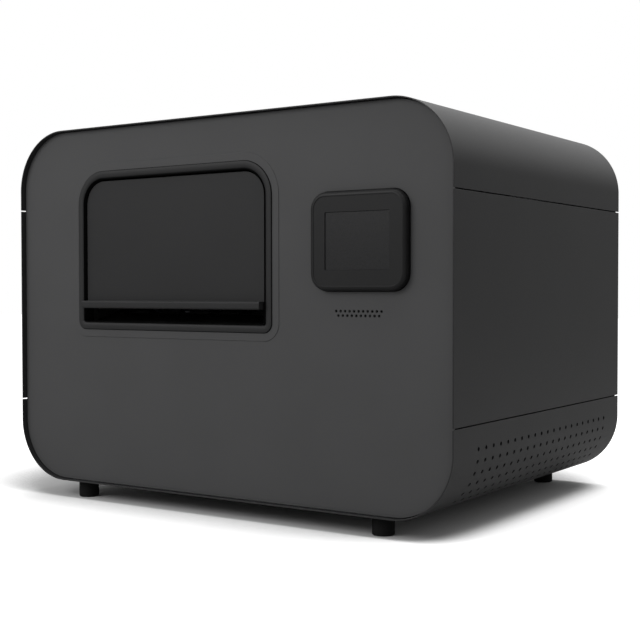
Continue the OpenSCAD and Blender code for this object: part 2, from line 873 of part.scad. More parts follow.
module display_block() {
  t = display_out;
  glass_back = t - glass_down - glass_t;
  color(black) at_case() translate([display_x, lip, display_z]) rotate([90, 0, 0]) difference() {
    soft_block(display_w, display_h, display_r, t, display_edge);
    translate([-glass_w / 2, -glass_h / 2, glass_back]) cube([glass_w, glass_h, t]);
    translate([-display_hole_w / 2, -display_hole_h / 2, -1])
      cube([display_hole_w, display_hole_h, glass_back - display_floor + 1]);
  }
}
module display_glass() {
  g = pass_gap / 2;
  color(trim_grey) at_case() translate([display_x, lip, display_z]) rotate([90, 0, 0])
    translate([-glass_w / 2 + g, -glass_h / 2 + g, display_out - glass_down - glass_t])
      cube([glass_w - 2 * g, glass_h - 2 * g, glass_t]);
}
// The module behind the display block, with its board against the panel's back
display_board_t = 1.6;
module display_module() {
  y0 = display_y + glass_down + glass_t + display_floor;
  w = display_hole_w - 6;
  h = display_hole_h - 6;
  color([0.1, 0.3, 0.15]) at_case() translate([display_x, 0, display_z]) {
    translate([-w / 2, y0, -h / 2]) cube([w, panel_back - y0, h]);
    translate([-w / 2 - 10, panel_back, -h / 2 - 10]) cube([w + 20, display_board_t, h + 20]);
    for (x = [-40, 5])
      for (z = [-30, 12])
        translate([x, panel_back + display_board_t, z]) cube([26, 5, 14]);
  }
}

module speaker() {
  w = (sound_count + 1) * sound_pitch;
  color(dark_steel) at_case() translate([sound_x, 0, sound_z - sound_row / 2]) {
    front_slab(panel_back, 3) rounded(w, 34, 16);
    front_slab(panel_back + 3, 6) rounded(w - 12, 24, 11);
    y_bar(0, panel_back + 9, 0, 14, 12);
  }
}

// Side frames of the mechanism, with bearing seats and round cut-outs
frame_foot = 20;
foot_flange_t = 3;
base_top = paper_z - 55;
arm_low = paper_z - 60;
arm_high = paper_z + 26;
tower_top = solenoid_z + solenoid_rail_t + 8;
tie_low = 50;
tie_places = [[frame_y0 + 38, tie_low], [frame_y1 - 40, tie_low], [400, 200]];
tie_bolt_r = tie_r - 3;
bolt_head = 4;
left_holes = [[frame_y0 + 88, 135], [(frame_y0 + frame_y1) / 2 - 1, 120], [frame_y1 - 90, 140]];
left_hole_r = 38;
right_holes = [[160, 170], [370, 130]];
right_hole_r = 34;
module frame_profile() {
  rounded_box(frame_y0, tray_top, frame_y1, base_top, frame_r);
  translate([frame_y0, tray_top]) square([frame_y1 - frame_y0, frame_r]);
  rounded_box(arm_y0, arm_low, arm_y1, arm_high, frame_r);
  rounded_box(cylinder_y - tower_w / 2, paper_z, cylinder_y + tower_w / 2, tower_top, frame_r);
}
module frame_seats() {
  for (z = [lower_z, upper_z]) translate([cylinder_y, z]) circle(bearing_r, $fn = 96);
  translate([feed_y, feed_z]) circle(bush_r, $fn = 64);
  translate([roller_y, roller_z]) circle(bush_r, $fn = 64);
  translate([roller_y, pinch_z]) circle(pinch_bush_r, $fn = 64);
  translate([rod_y, feed_z]) circle(rod_r, $fn = 64);
  for (p = tie_places) translate(p) circle(tie_bolt_r, $fn = 48);
}
module frame_foot_flange(x) {
  translate([x, frame_y0, tray_top]) cube([frame_foot, frame_y1 - frame_y0, foot_flange_t]);
}
module side_frame_left() {
  color(steel) at_case() {
    side_slab(left_out, plate_t) difference() {
      frame_profile();
      frame_seats();
      for (p = left_holes) translate(p) circle(left_hole_r, $fn = 96);
    }
    frame_foot_flange(left_in);
  }
}
module side_frame_right() {
  color(steel) at_case() {
    side_slab(right_in, plate_t) difference() {
      frame_profile();
      frame_seats();
      translate([motor_y, motor_z]) circle(motor_shaft_r + 2, $fn = 64);
      translate([step_y, step_z]) circle(step_shaft_r + 3, $fn = 64);
      for (p = right_holes) translate(p) circle(right_hole_r, $fn = 96);
    }
    frame_foot_flange(right_in - frame_foot);
  }
}

// Tie bars with bolt heads, and the plain rod that carries the tractors
module frame_rods() {
  color(zinc) at_case() {
    for (p = tie_places) {
      x_bar(left_in, p[0], p[1], tie_r, frame_in);
      x_bar(left_out - bolt_head, p[0], p[1], tie_bolt_r, frame_in + 2 * (plate_t + bolt_head));
      for (x = [left_out - bolt_head, right_out]) x_bar(x, p[0], p[1], tie_r, bolt_head);
    }
    x_bar(left_out, rod_y, feed_z, rod_r, frame_in + 2 * plate_t);
  }
}

// A flanged ring in both side frames, with its flange outside
module flanged_pair(y, z, outer, inner, flange) {
  difference() {
    union() {
      for (x = [left_out, right_in]) x_bar(x, y, z, outer, plate_t);
      x_bar(left_out - bearing_flange, y, z, outer + flange, bearing_flange);
      x_bar(right_out, y, z, outer + flange, bearing_flange);
    }
    x_bar(left_out - bearing_flange - 1, y, z, inner, frame_in + 2 * (plate_t + bearing_flange) + 2);
  }
}
module cylinder_bearings() {
  color(steel) at_case()
    for (z = [lower_z, upper_z])
      flanged_pair(cylinder_y, z, bearing_r, journal_r + running, 4);
}
module shaft_bushes() {
  color(bronze) at_case() {
    flanged_pair(feed_y, feed_z, bush_r, feed_journal + running, 2);
    flanged_pair(roller_y, roller_z, bush_r, roller_journal + running, 2);
    flanged_pair(roller_y, pinch_z, pinch_bush_r, pinch_journal + running, 2);
  }
}

// Embossing cylinder: rings of cells along a drum turned hollow from both ends, on a through shaft
cell_groove = 1.2;
cell_groove_w = 2;
drum_wall = 9;
drum_hub_r = journal_r + 8;
drum_web = 30;
hub_short = 6;
module cylinder_body(z, x1) {
  n = floor((cylinder_l - 2 * cell_pitch) / cell_pitch);
  start = (cylinder_l - (n - 1) * cell_pitch - cell_groove_w) / 2;
  inner = cylinder_r - drum_wall;
  web = [(cylinder_l - drum_web) / 2, (cylinder_l + drum_web) / 2];
  x0 = left_out - bearing_flange;
  color(steel) at_case() {
    translate([mech_x - cylinder_l / 2, cylinder_y, z]) rotate([0, 90, 0]) rotate_extrude($fn = 96)
      polygon(concat([[0, hub_short], [drum_hub_r, hub_short], [drum_hub_r, web[0]], [inner, web[0]],
        [inner, 0], [cylinder_r, 0]],
        [for (i = [0:n - 1]) for (p = [[0, 0], [cell_groove, 0], [cell_groove, cell_groove_w],
          [0, cell_groove_w]]) [cylinder_r - p[0], start + i * cell_pitch + p[1]]],
        [[cylinder_r, cylinder_l], [inner, cylinder_l], [inner, web[1]], [drum_hub_r, web[1]],
          [drum_hub_r, cylinder_l - hub_short], [0, cylinder_l - hub_short]]));
    x_bar(x0, cylinder_y, z, journal_r, x1 - x0);
  }
}
module lower_cylinder() { cylinder_body(lower_z, pulley_x + pulley_w); }
module upper_cylinder() { cylinder_body(upper_z, gear_x + gear_w); }

// Points of a gear's outline; back is the play left on each flank
function gear_points(teeth, m, back) =
  let (r = teeth * m / 2, half = 90 / teeth, play = back / r * 180 / PI)
  [for (i = [0:teeth - 1])
    for (p = [[r - 1.25 * m, -1.55], [r, -1], [r + m, -0.45], [r + m, 0.45], [r, 1], [r - 1.25 * m, 1.55]])
      let (a = i * 360 / teeth + p[1] * half - sign(p[1]) * play)
      [p[0] * cos(a), p[0] * sin(a)]];
gear_play = 0.15;
gear_hole_at = 26;
gear_hole_r = 8;
module cylinder_gear(z, turn) {
  m = cylinder_gap / gear_teeth;
  color(dark_steel) at_case() side_slab(gear_x, gear_w) translate([cylinder_y, z]) rotate(turn)
    difference() {
      polygon(gear_points(gear_teeth, m, gear_play));
      circle(journal_r, $fn = 64);
      for (a = [30:60:330]) rotate(a) translate([gear_hole_at, 0]) circle(gear_hole_r, $fn = 48);
    }
}
module lower_gear() { cylinder_gear(lower_z, 0); }
module upper_gear() { cylinder_gear(upper_z, 180 / gear_teeth); }

// A flanged belt pulley about an axis across the case
rim_t = 1.5;
module pulley(x, y, z, r, bore) {
  translate([x, y, z]) rotate([0, 90, 0]) rotate_extrude($fn = 96)
    polygon([[bore, 0], [r + belt_t, 0], [r + belt_t, rim_t], [r, rim_t], [r, pulley_w - rim_t],
      [r + belt_t, pulley_w - rim_t], [r + belt_t, pulley_w], [bore, pulley_w]]);
}
module drive_pulley() {
  color(zinc) at_case() pulley(pulley_x, cylinder_y, lower_z, pulley_r, journal_r);
}

// A square motor with round edges, whose shaft comes out through the right side frame
module motor_body(y, z, w, l, shaft_r) {
  difference() {
    union() {
      side_slab(right_in - l, l) translate([y, z]) rounded(w, w, w * 0.12);
      x_bar(right_in - l - 6, y, z, w * 0.3, 7);
    }
    x_bar(right_in - l / 2, y, z, shaft_r + running, l);
    for (x = [right_in - l + 8:8:right_in - 16])
      for (s = [-1, 1])
        translate([x, y + s * w / 2 - 1.5, z - w * 0.3]) cube([3, 3, w * 0.6]);
  }
}
module drive_motor() { color(black) at_case() motor_body(motor_y, motor_z, motor_w, motor_l, motor_shaft_r); }
module feed_motor() { color(black) at_case() motor_body(step_y, step_z, step_w, step_l, step_shaft_r); }
module motor_pulley() {
  x0 = right_in - motor_l / 2;
  color(zinc) at_case() {
    x_bar(x0, motor_y, motor_z, motor_shaft_r, pulley_x + pulley_w - x0);
    pulley(pulley_x, motor_y, motor_z, motor_pulley_r, motor_shaft_r);
  }
}
module feed_motor_pulley() {
  x0 = right_in - step_l / 2;
  color(zinc) at_case() {
    x_bar(x0, step_y, step_z, step_shaft_r, feed_pulley_x + pulley_w - x0);
    pulley(feed_pulley_x, step_y, step_z, feed_pulley_r, step_shaft_r);
  }
}

// The closed outline of a belt round two pulleys
function arc_points(c, r, a0, a1) = [for (i = [0:24]) c + r * [cos(a0 + (a1 - a0) * i / 24), sin(a0 + (a1 - a0) * i / 24)]];
function belt_points(c1, r1, c2, r2) =
  let (d = c2 - c1, a = atan2(d[1], d[0]), b = acos((r1 - r2) / norm(d)))
  concat(arc_points(c1, r1, a + b, a + 360 - b), arc_points(c2, r2, a - b, a + b));
module belt(x, c1, r1, c2, r2) {
  g = pass_gap;
  side_slab(x + (pulley_w - belt_w) / 2, belt_w) difference() {
    polygon(belt_points(c1, r1 + g + belt_t, c2, r2 + g + belt_t));
    polygon(belt_points(c1, r1 + g, c2, r2 + g));
  }
}
module timing_belts() {
  color(black) at_case() {
    belt(pulley_x, [cylinder_y, lower_z], pulley_r, [motor_y, motor_z], motor_pulley_r);
    belt(feed_pulley_x, [feed_y, feed_z], feed_pulley_r, [step_y, step_z], feed_pulley_r);
    belt(exit_pulley_x, [feed_y, feed_z], feed_pulley_r, [roller_y, roller_z], feed_pulley_r);
  }
}

// Solenoid rail across the upper cylinder, with two rows of solenoids on it
solenoid_rail_w = 56;
bobbin_flange = 3;
winding_d = 1.2;
module solenoid_rail() {
  color(zinc) at_case() translate([left_in, cylinder_y - solenoid_rail_w / 2, solenoid_z])
    cube([frame_in, solenoid_rail_w, solenoid_rail_t]);
}
module solenoids() {
  z = solenoid_z + solenoid_rail_t;
  color(black) at_case()
    for (i = [0:solenoid_count - 1])
      for (s = [-1, 1])
        translate([mech_x + (i - (solenoid_count - 1) / 2) * solenoid_pitch + s * solenoid_pitch / 4,
          cylinder_y + s * solenoid_rail_w / 4, z]) {
          cylinder(r = solenoid_r, h = bobbin_flange, $fn = 32);
          cylinder(r = solenoid_r - winding_d, h = solenoid_h, $fn = 32);
          translate([0, 0, solenoid_h - bobbin_flange]) cylinder(r = solenoid_r, h = bobbin_flange, $fn = 32);
          translate([0, 0, solenoid_h]) cylinder(r = solenoid_r / 3, h = bobbin_flange, $fn = 24);
        }
}

// Square feed shaft with round journals and its two pulleys
module feed_shaft() {
  c = feed_w / 2;
  x0 = exit_pulley_x;
  color(steel) at_case() {
    side_slab(left_in + side_gap, frame_in - 2 * side_gap) translate([feed_y - c, feed_z - c])
      square([feed_w, feed_w]);
    x_bar(x0, feed_y, feed_z, feed_journal, feed_pulley_x + pulley_w - x0);
    pulley(feed_pulley_x, feed_y, feed_z, feed_pulley_r, feed_journal);
    pulley(exit_pulley_x, feed_y, feed_z, feed_pulley_r, feed_journal);
  }
}

// Tractor drawn about its wheel's middle plane, with its gate hinge towards -X
module tractor() {
  top = paper_z - 2;
  difference() {
    union() {
      for (x = [-cheek_out, cheek_in])
        side_slab(x, cheek_out - cheek_in) rounded_box(tractor_y0, tractor_z0, tractor_y1, top, 5);
      translate([-cheek_out, tractor_y0 + 5, tractor_z0])
        cube([2 * cheek_out, tractor_y1 - tractor_y0 - 10, 7]);
      translate([-cheek_out, feed_y + tip_r + 3, tractor_z0])
        cube([2 * cheek_out, tractor_y1 - 5 - feed_y - tip_r - 3, top - tractor_z0]);
      for (y = lug_y) {
        y_bar(-gate_x, y, gate_z, gate_lug_r, lug_w);
        translate([-gate_x, y, gate_z - gate_lug_r]) cube([gate_x - cheek_out + 1, lug_w, gate_lug_r]);
      }
    }
    x_bar(-cheek_out - 1, feed_y, feed_z, wheel_hub_r + running, 2 * cheek_out + 2);
    x_bar(-cheek_out - 1, rod_y, feed_z, rod_r + running, 2 * cheek_out + 2);
    y_bar(-gate_x, lug_y[0] - 1, gate_z, gate_pin_r + running, lug_y[1] - lug_y[0] + lug_w + 2);
  }
}
module gate() {
  y0 = lug_y[0] + lug_w + side_gap;
  y1 = lug_y[1] - side_gap;
  z = paper_z + 1;
  slot = tip_r * 0.65;
  y_bar(-gate_x, lug_y[0], gate_z, gate_pin_r, lug_y[1] - lug_y[0] + lug_w);
  y_bar(-gate_x, y0, gate_z, gate_lug_r, y1 - y0);
  translate([-gate_x - 2, y0, gate_z]) cube([4, y1 - y0, z + 3 - gate_z]);
  difference() {
    union() {
      translate([-gate_x - 2, tractor_y0 + 4, z]) cube([gate_x + 2 + cheek_out, tractor_y1 - tractor_y0 - 8, 3]);
      translate([cheek_out, feed_y - 12, z]) cube([5, 24, 6]);
    }
    translate([-pin_r - 1.5, feed_y - slot, z - 1]) cube([2 * pin_r + 3, 2 * slot, 8]);
  }
}
module pin_wheel() {
  w = feed_w + 0.2;
  difference() {
    union() {
      x_bar(-wheel_w / 2, feed_y, feed_z, wheel_r, wheel_w);
      x_bar(-cheek_out, feed_y, feed_z, wheel_hub_r, 2 * cheek_out);
      for (i = [0:pin_count - 1])
        translate([0, feed_y, feed_z]) rotate([i * 360 / pin_count, 0, 0]) translate([0, 0, wheel_r - 1])
          cylinder(r1 = pin_r, r2 = pin_r * 0.6, h = pin_l + 1, $fn = 24);
    }
    translate([-cheek_out - 1, feed_y - w / 2, feed_z - w / 2]) cube([2 * cheek_out + 2, w, w]);
  }
}
module at_left_wheel() { at_case() translate([mech_x - wheel_span / 2, 0, 0]) children(); }
module at_right_wheel() { at_case() translate([mech_x + wheel_span / 2, 0, 0]) mirror([1, 0, 0]) children(); }
module tractor_left() { color(black) at_left_wheel() tractor(); }
module tractor_right() { color(black) at_right_wheel() tractor(); }
module gate_left() { color(dark_steel) at_left_wheel() gate(); }
module gate_right() { color(dark_steel) at_right_wheel() gate(); }
module pin_wheel_left() { color(zinc) at_left_wheel() pin_wheel(); }
module pin_wheel_right() { color(zinc) at_right_wheel() pin_wheel(); }

// A roller with raised sleeves between the side frames
sleeves = 6;
sleeve_l = 40;
module sleeved_roller(z, r, core, journal, x0) {
  step = (frame_in - 30) / sleeves;
  x_bar(left_in + 5, roller_y, z, core, frame_in - 10);
  for (i = [0:sleeves - 1])
    x_bar(left_in + 15 + (i + 0.5) * step - sleeve_l / 2, roller_y, z, r, sleeve_l);
  x_bar(x0, roller_y, z, journal, right_out + bearing_flange - x0);
}
module exit_roller() {
  color(black) at_case() {
    sleeved_roller(roller_z, roller_r, roller_r - 4, roller_journal, exit_pulley_x);
    pulley(exit_pulley_x, roller_y, roller_z, feed_pulley_r, roller_journal);
  }
}
module pinch_rollers() {
  color(black) at_case()
    sleeved_roller(pinch_z, pinch_r, pinch_r - 3, pinch_journal, left_out - bearing_flange);
}

// Flat guides under the paper, one before the tractors and one behind them
module guide_plate(y0, y1) {
  translate([left_in, y0, paper_z - 4]) cube([frame_in, y1 - y0, 2]);
  translate([left_in, y0, paper_z - 12]) cube([frame_in, 2, 9]);
}
// A folded lip on the rear panel: a flange outside, and a rolled edge that leads the paper in
lip_fold = 16;
lip_bend = 4;
module inlet_lip() {
  translate([-inlet_w / 2 - inlet_lap, rear_face, lip_bend])
    cube([inlet_w + 2 * inlet_lap, sheet, inlet_lip_h + inlet_lap - lip_bend]);
  translate([pass_gap - inlet_w / 2, rear_face + sheet, 0]) {
    translate([0, -lip_bend, lip_bend]) rotate([0, 90, 0]) intersection() {
      difference() {
        cylinder(r = lip_bend, h = inlet_w - 2 * pass_gap, $fn = 64);
        translate([0, 0, -1]) cylinder(r = lip_bend - sheet, h = inlet_w + 2, $fn = 64);
      }
      cube([lip_bend, lip_bend, inlet_w]);
    }
    translate([0, -lip_fold, 0]) cube([inlet_w - 2 * pass_gap, lip_fold - lip_bend, sheet]);
  }
}
module paper_guides() {
  color(zinc) at_case() {
    guide_plate(cylinder_y + 55, tractor_y0 - 3);
    guide_plate(tractor_y1 + 3, rear_back - 1);
    translate([mech_x, 0, paper_z + inlet_high]) inlet_lip();
    translate([mech_x, 0, paper_z - inlet_low]) mirror([0, 0, 1]) inlet_lip();
  }
}

// Power supply: a vented metal box with a terminal strip
supply_x = right_out + 46;
module power_supply() {
  y0 = gusset_y + 8;
  color(zinc) at_case() translate([supply_x, y0, tray_top]) {
    difference() {
      cube([supply_w, supply_l, supply_h]);
      for (i = [0:9])
        translate([12, 24 + i * 16, supply_h - 1]) cube([supply_w - 24, 6, 2]);
    }
    translate([10, supply_l, 8]) cube([supply_w - 20, 14, 16]);
  }
}

// Control board on stand-offs, with sockets, a heat sink and capacitors
module control_board() {
  y0 = rear_back - board_back - board_l;
  lift = 10;
  color([0.08, 0.3, 0.16]) at_case() translate([supply_x, y0, tray_top]) {
    for (x = [8, board_w - 8]) for (y = [8, board_l - 8]) translate([x, y, 0]) cylinder(r = 4, h = lift, $fn = 32);
    translate([0, 0, lift]) {
      cube([board_w, board_l, 1.6]);
      for (i = [0:6]) translate([20 + i * 7, 120, 1]) cube([3, 60, 26]);
      translate([20, 120, 1]) cube([45, 60, 6]);
      for (i = [0:3]) translate([board_w - 26, 24 + i * 46, 1]) cube([12, 34, 12]);
      for (i = [0:4]) translate([26 + i * 15, 96, 1]) cylinder(r = 6, h = 20, $fn = 32);
      for (p = [[24, 24], [62, 30], [30, 60]]) translate([p[0], p[1], 1]) cube([24, 22, 3]);
    }
  }
}

// Fan: a square housing with a hub on struts, and a rotor with seven blades
fan_hub_r = 20;
fan_pin_r = 2.5;
module fan_housing() {
  y0 = rear_back - fan_d;
  bore = fan_w / 2 - 3;
  color(black) at_case() translate([fan_x, 0, fan_z]) difference() {
    union() {
      front_slab(y0, fan_d) difference() {
        rounded(fan_w, fan_w, 6);
        circle(bore, $fn = 96);
      }
      front_slab(y0, 3) {
        circle(fan_hub_r, $fn = 64);
        for (a = [45, 135]) rotate(a) square([2 * bore + 2, 6], center = true);
      }
    }
    y_bar(0, y0 - 1, 0, fan_pin_r + running, 6);
    for (x = [-1, 1]) for (z = [-1, 1])
      y_bar(x * (fan_w / 2 - 7.5), y0 - 1, z * (fan_w / 2 - 7.5), 2.2, fan_d + 2);
  }
}
blade_count = 7;
module fan_rotor() {
  y0 = rear_back - fan_d + 4;
  depth = fan_d - 7;
  reach = fan_w / 2 - 6;
  color([0.15, 0.15, 0.16]) at_case() translate([fan_x, 0, fan_z]) {
    y_bar(0, y0, 0, fan_hub_r - 1, depth);
    y_bar(0, rear_back - fan_d, 0, fan_pin_r, 6);
    for (i = [0:blade_count - 1])
      rotate([0, i * 360 / blade_count, 0]) translate([fan_hub_r - 4, y0 + depth / 2, 0])
        rotate([35, 0, 0]) translate([0, -depth / 2 + 1, -0.75]) cube([reach - fan_hub_r + 2, depth - 2, 1.5]);
  }
}

// Power entry with its inlet and rocker window, and the data sockets beside it
socket_t = 3;
rocker_w = 13.4;
rocker_h = 19;
rocker_win = [14, 22];
rocker_pin_r = 1.5;
rocker_tilt = 8;
rocker_from_middle = 26;
inlet_from_middle = 14;
rocker_x = power_x + rocker_from_middle;
inlet_x = power_x - inlet_from_middle;
// The sockets stand on their plate with a thin seal between
socket_face = rear_back + socket_t;
socket_lap = 8;
seal_t = 0.2;
module rear_sockets() {
  color(black) at_case() {
    front_slab(rear_back - sheet, sheet) difference() {
      translate([socket_plate_x, power_z])
        rounded(socket_plate_w + 2 * socket_lap, socket_plate_h + 2 * socket_lap, 4);
      translate([power_x, power_z]) square([entry_w + 1, entry_h + 1], center = true);
      translate([port_x, power_z]) square([port_w + 1, port_h + 1], center = true);
    }
    difference() {
      union() {
        front_slab(rear_back + seal_t, socket_t - seal_t)
          translate([power_x, power_z]) rounded(entry_w + 10, entry_h + 8, 4);
        translate([power_x - entry_w / 2, rear_back - 25, power_z - entry_h / 2])
          cube([entry_w, 26, entry_h]);
      }
      translate([inlet_x - 12.5, socket_face - 18, power_z - 8.5]) cube([25, 20, 17]);
      translate([rocker_x - rocker_win[0] / 2, socket_face - 14, power_z - rocker_win[1] / 2])
        cube([rocker_win[0], 20, rocker_win[1]]);
      x_bar(rocker_x - rocker_win[0] / 2 - 2, socket_face - 2, power_z, rocker_pin_r + running,
        rocker_win[0] + 4);
    }
    for (p = [[-7, -2], [7, -2], [0, 2.5]])
      translate([inlet_x + p[0] - 1, socket_face - 19, power_z + p[1] - 2]) cube([2, 15, 4]);
    difference() {
      union() {
        front_slab(rear_back + seal_t, sheet)
          translate([port_x, power_z]) rounded(port_w + 8, port_h + 8, 3);
        translate([port_x - port_w / 2, rear_back - 16, power_z - port_h / 2]) cube([port_w, 17, port_h]);
      }
      translate([port_x - 20, rear_back - 10, power_z - 4.5]) cube([12.5, 20, 9]);
      translate([port_x + 6, rear_back - 8, power_z - 4.5]) cube([10, 20, 9]);
    }
  }
}
module power_rocker() {
  h = rocker_h / 2;
  color([0.08, 0.08, 0.08]) at_case() {
    side_slab(rocker_x - rocker_w / 2, rocker_w) translate([socket_face - 2, power_z]) rotate(-rocker_tilt)
      polygon([[-8, -h + 1], [3, -h], [1.6, 0], [3, h], [-8, h - 1]]);
    x_bar(rocker_x - rocker_win[0] / 2 - 1.5, socket_face - 2, power_z, rocker_pin_r, rocker_win[0] + 3);
  }
}

top_cover();
cover_rails();
cover_liner();
hinge_knuckles();
hinge_leaves();
hinge_pins();
side_panel_left();
side_panel_right();
vent_skirt_left();
vent_skirt_right();
floor_sheet();
front_panel();
rear_panel();
rubber_feet();
foot_screws();
base_tray();
corner_posts();
seam_rails();
corner_gussets();
window_frame();
window_flap();
flap_shaft();
exit_chute();
display_block();
display_glass();
display_module();
speaker();
side_frame_left();
side_frame_right();
frame_rods();
cylinder_bearings();
shaft_bushes();
lower_cylinder();
upper_cylinder();
lower_gear();
upper_gear();
drive_pulley();
drive_motor();
motor_pulley();
timing_belts();
solenoid_rail();
solenoids();
feed_shaft();
tractor_left();
tractor_right();
pin_wheel_left();
pin_wheel_right();
gate_left();
gate_right();
feed_motor();
feed_motor_pulley();
exit_roller();
pinch_rollers();
paper_guides();
power_supply();
control_board();
fan_housing();
fan_rotor();
rear_sockets();
power_rocker();
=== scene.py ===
# %% [markdown]
# # A braille embosser in its studio
# The machine is an office embosser: a rolled sheet case, a recessed front panel with a window flap and a
# display block, and the embossing mechanism inside. The CAD model gives every piece its size and place.
# This notebook gives the pieces their edges, grain and light, and adds the thin and small things: screws,
# windings, pins, and dull black pieces that paint shade. It could also be done by hand in the editor, but a
# script can be run again after each change of the model, so that is the way used here.

# %% Load the measured frame
import json
import math

import bmesh
import bpy
from mathutils import Matrix, Vector


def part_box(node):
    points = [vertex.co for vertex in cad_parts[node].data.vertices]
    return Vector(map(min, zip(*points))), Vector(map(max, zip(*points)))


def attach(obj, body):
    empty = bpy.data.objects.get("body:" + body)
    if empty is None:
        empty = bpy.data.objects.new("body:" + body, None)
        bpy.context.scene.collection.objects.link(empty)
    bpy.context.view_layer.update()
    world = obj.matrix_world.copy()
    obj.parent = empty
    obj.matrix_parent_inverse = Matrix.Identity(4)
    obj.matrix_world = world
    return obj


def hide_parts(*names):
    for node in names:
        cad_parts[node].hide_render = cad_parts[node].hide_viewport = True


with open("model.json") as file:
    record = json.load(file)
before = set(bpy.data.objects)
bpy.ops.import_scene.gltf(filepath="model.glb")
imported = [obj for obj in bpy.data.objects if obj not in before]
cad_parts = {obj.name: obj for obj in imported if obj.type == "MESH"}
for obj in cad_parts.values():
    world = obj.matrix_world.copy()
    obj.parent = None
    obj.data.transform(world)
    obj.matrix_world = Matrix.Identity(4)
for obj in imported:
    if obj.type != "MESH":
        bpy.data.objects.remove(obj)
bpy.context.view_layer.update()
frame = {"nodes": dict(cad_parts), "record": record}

print("nodes in the frame:", len(frame["nodes"]))

# %% [markdown]
# ## Where things are
# Blender works in metres. Most sizes are read from the boxes of the CAD nodes, so a piece goes where the
# model says. The case is described as on a drawing, in millimetres: x across the front, y behind the skin's
# front edge and z above the bottom of the case. The function at_case turns such a place into the frame's
# own coordinates.

# %% The case's own coordinates
MM = 0.001
skin_low, skin_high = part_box("top_cover")
floor_low, floor_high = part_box("floor_sheet")
half_mm = (skin_high.x - skin_low.x) / MM / 2
depth_mm = (skin_high.y - skin_low.y) / MM
height_mm = (skin_high.z - floor_low.z) / MM
front_y = skin_low.y
bottom_z = floor_low.z
CORNER_MM = 100
sheet = floor_high.z - floor_low.z


def at_case(x, y, z):
    """A place in millimetres on the case's drawing, in the frame's metres."""
    return Vector((x * MM, front_y + y * MM, bottom_z + z * MM))


print("case in mm:", [round(v, 1) for v in (2 * half_mm, depth_mm, height_mm, sheet / MM)])

# %% [markdown]
# ## Finishes
# A painted sheet is never one flat colour: powder coat has a fine orange peel, and its colour drifts a
# little. The grain is made with noise in Object coordinates, in real millimetres, so it stays on the piece
# when the piece moves. An image texture would do too, but it would have to be unwrapped and stored. Two
# noises are used: a fine one for the bump and the roughness, and a broad one for the drift in colour.

# %% Helpers for grained finishes
FINE_DETAIL, BROAD_SCALE, BROAD_DETAIL = 3.0, 9.0, 4.0
NOISE_SPAN, GLOSS_SPREAD, RELIEF_M = (0.3, 0.7), 0.06, 0.0002


def set_up(node, values=None, wires=None):
    """Sets some inputs of a shader node and wires outputs of other nodes into others."""
    for name, value in (values or {}).items():
        node.inputs[name].default_value = value
    for name, source in (wires or {}).items():
        node.id_data.links.new(source, node.inputs[name])
    return node


def add(tree, kind, values=None, wires=None):
    return set_up(tree.nodes.new("ShaderNode" + kind), values, wires)


def shade(colour, factor):
    return tuple(min(1.0, c * factor) for c in colour) + (1.0,)


def grained(name, colour, roughness, grain, bump, drift, metallic=0.0, specular=0.5, stretch=(1, 1, 1),
            sheen=0.0):
    """A finish with a fine grain of that size in millimetres and a broad drift in colour."""
    finish = bpy.data.materials.new(name)
    finish.use_nodes = True
    tree = finish.node_tree
    place = add(tree, "TexCoord").outputs["Object"]
    scaled = add(tree, "Mapping", {"Scale": stretch}, {"Vector": place}).outputs["Vector"]
    fine = add(tree, "TexNoise", {"Scale": 1 / (grain * MM), "Detail": FINE_DETAIL}, {"Vector": scaled})
    broad = add(tree, "TexNoise", {"Scale": BROAD_SCALE, "Detail": BROAD_DETAIL}, {"Vector": scaled})
    tone = add(tree, "ValToRGB", wires={"Fac": broad.outputs["Fac"]})
    for stop, position, factor in zip(tone.color_ramp.elements, NOISE_SPAN, (1.0 - drift, 1.0 + drift)):
        stop.position = position
        stop.color = shade(colour, factor)
    span = {"From Min": NOISE_SPAN[0], "From Max": NOISE_SPAN[1],
            "To Min": max(0.02, roughness - GLOSS_SPREAD), "To Max": min(1.0, roughness + GLOSS_SPREAD)}
    gloss = add(tree, "MapRange", span, {"Value": fine.outputs["Fac"]})
    relief = add(tree, "Bump", {"Strength": bump, "Distance": RELIEF_M}, {"Height": fine.outputs["Fac"]})
    set_up(tree.nodes["Principled BSDF"],
           {"Metallic": metallic, "Specular IOR Level": specular, "Sheen Weight": sheen},
           {"Base Color": tone.outputs["Color"], "Roughness": gloss.outputs["Result"],
            "Normal": relief.outputs["Normal"]})
    return finish


# %% [markdown]
# Now each surface of the machine gets its own finish. The two greys of the case are powder coats: the skin
# is darker and the front panel lighter. The trim, the flap and the display block are mouldings with a finer
# and duller grain. Inside, steel is ground or zinc plated, and aluminium is milled, which shows as long
# fine lines, made by stretching the noise along one axis.

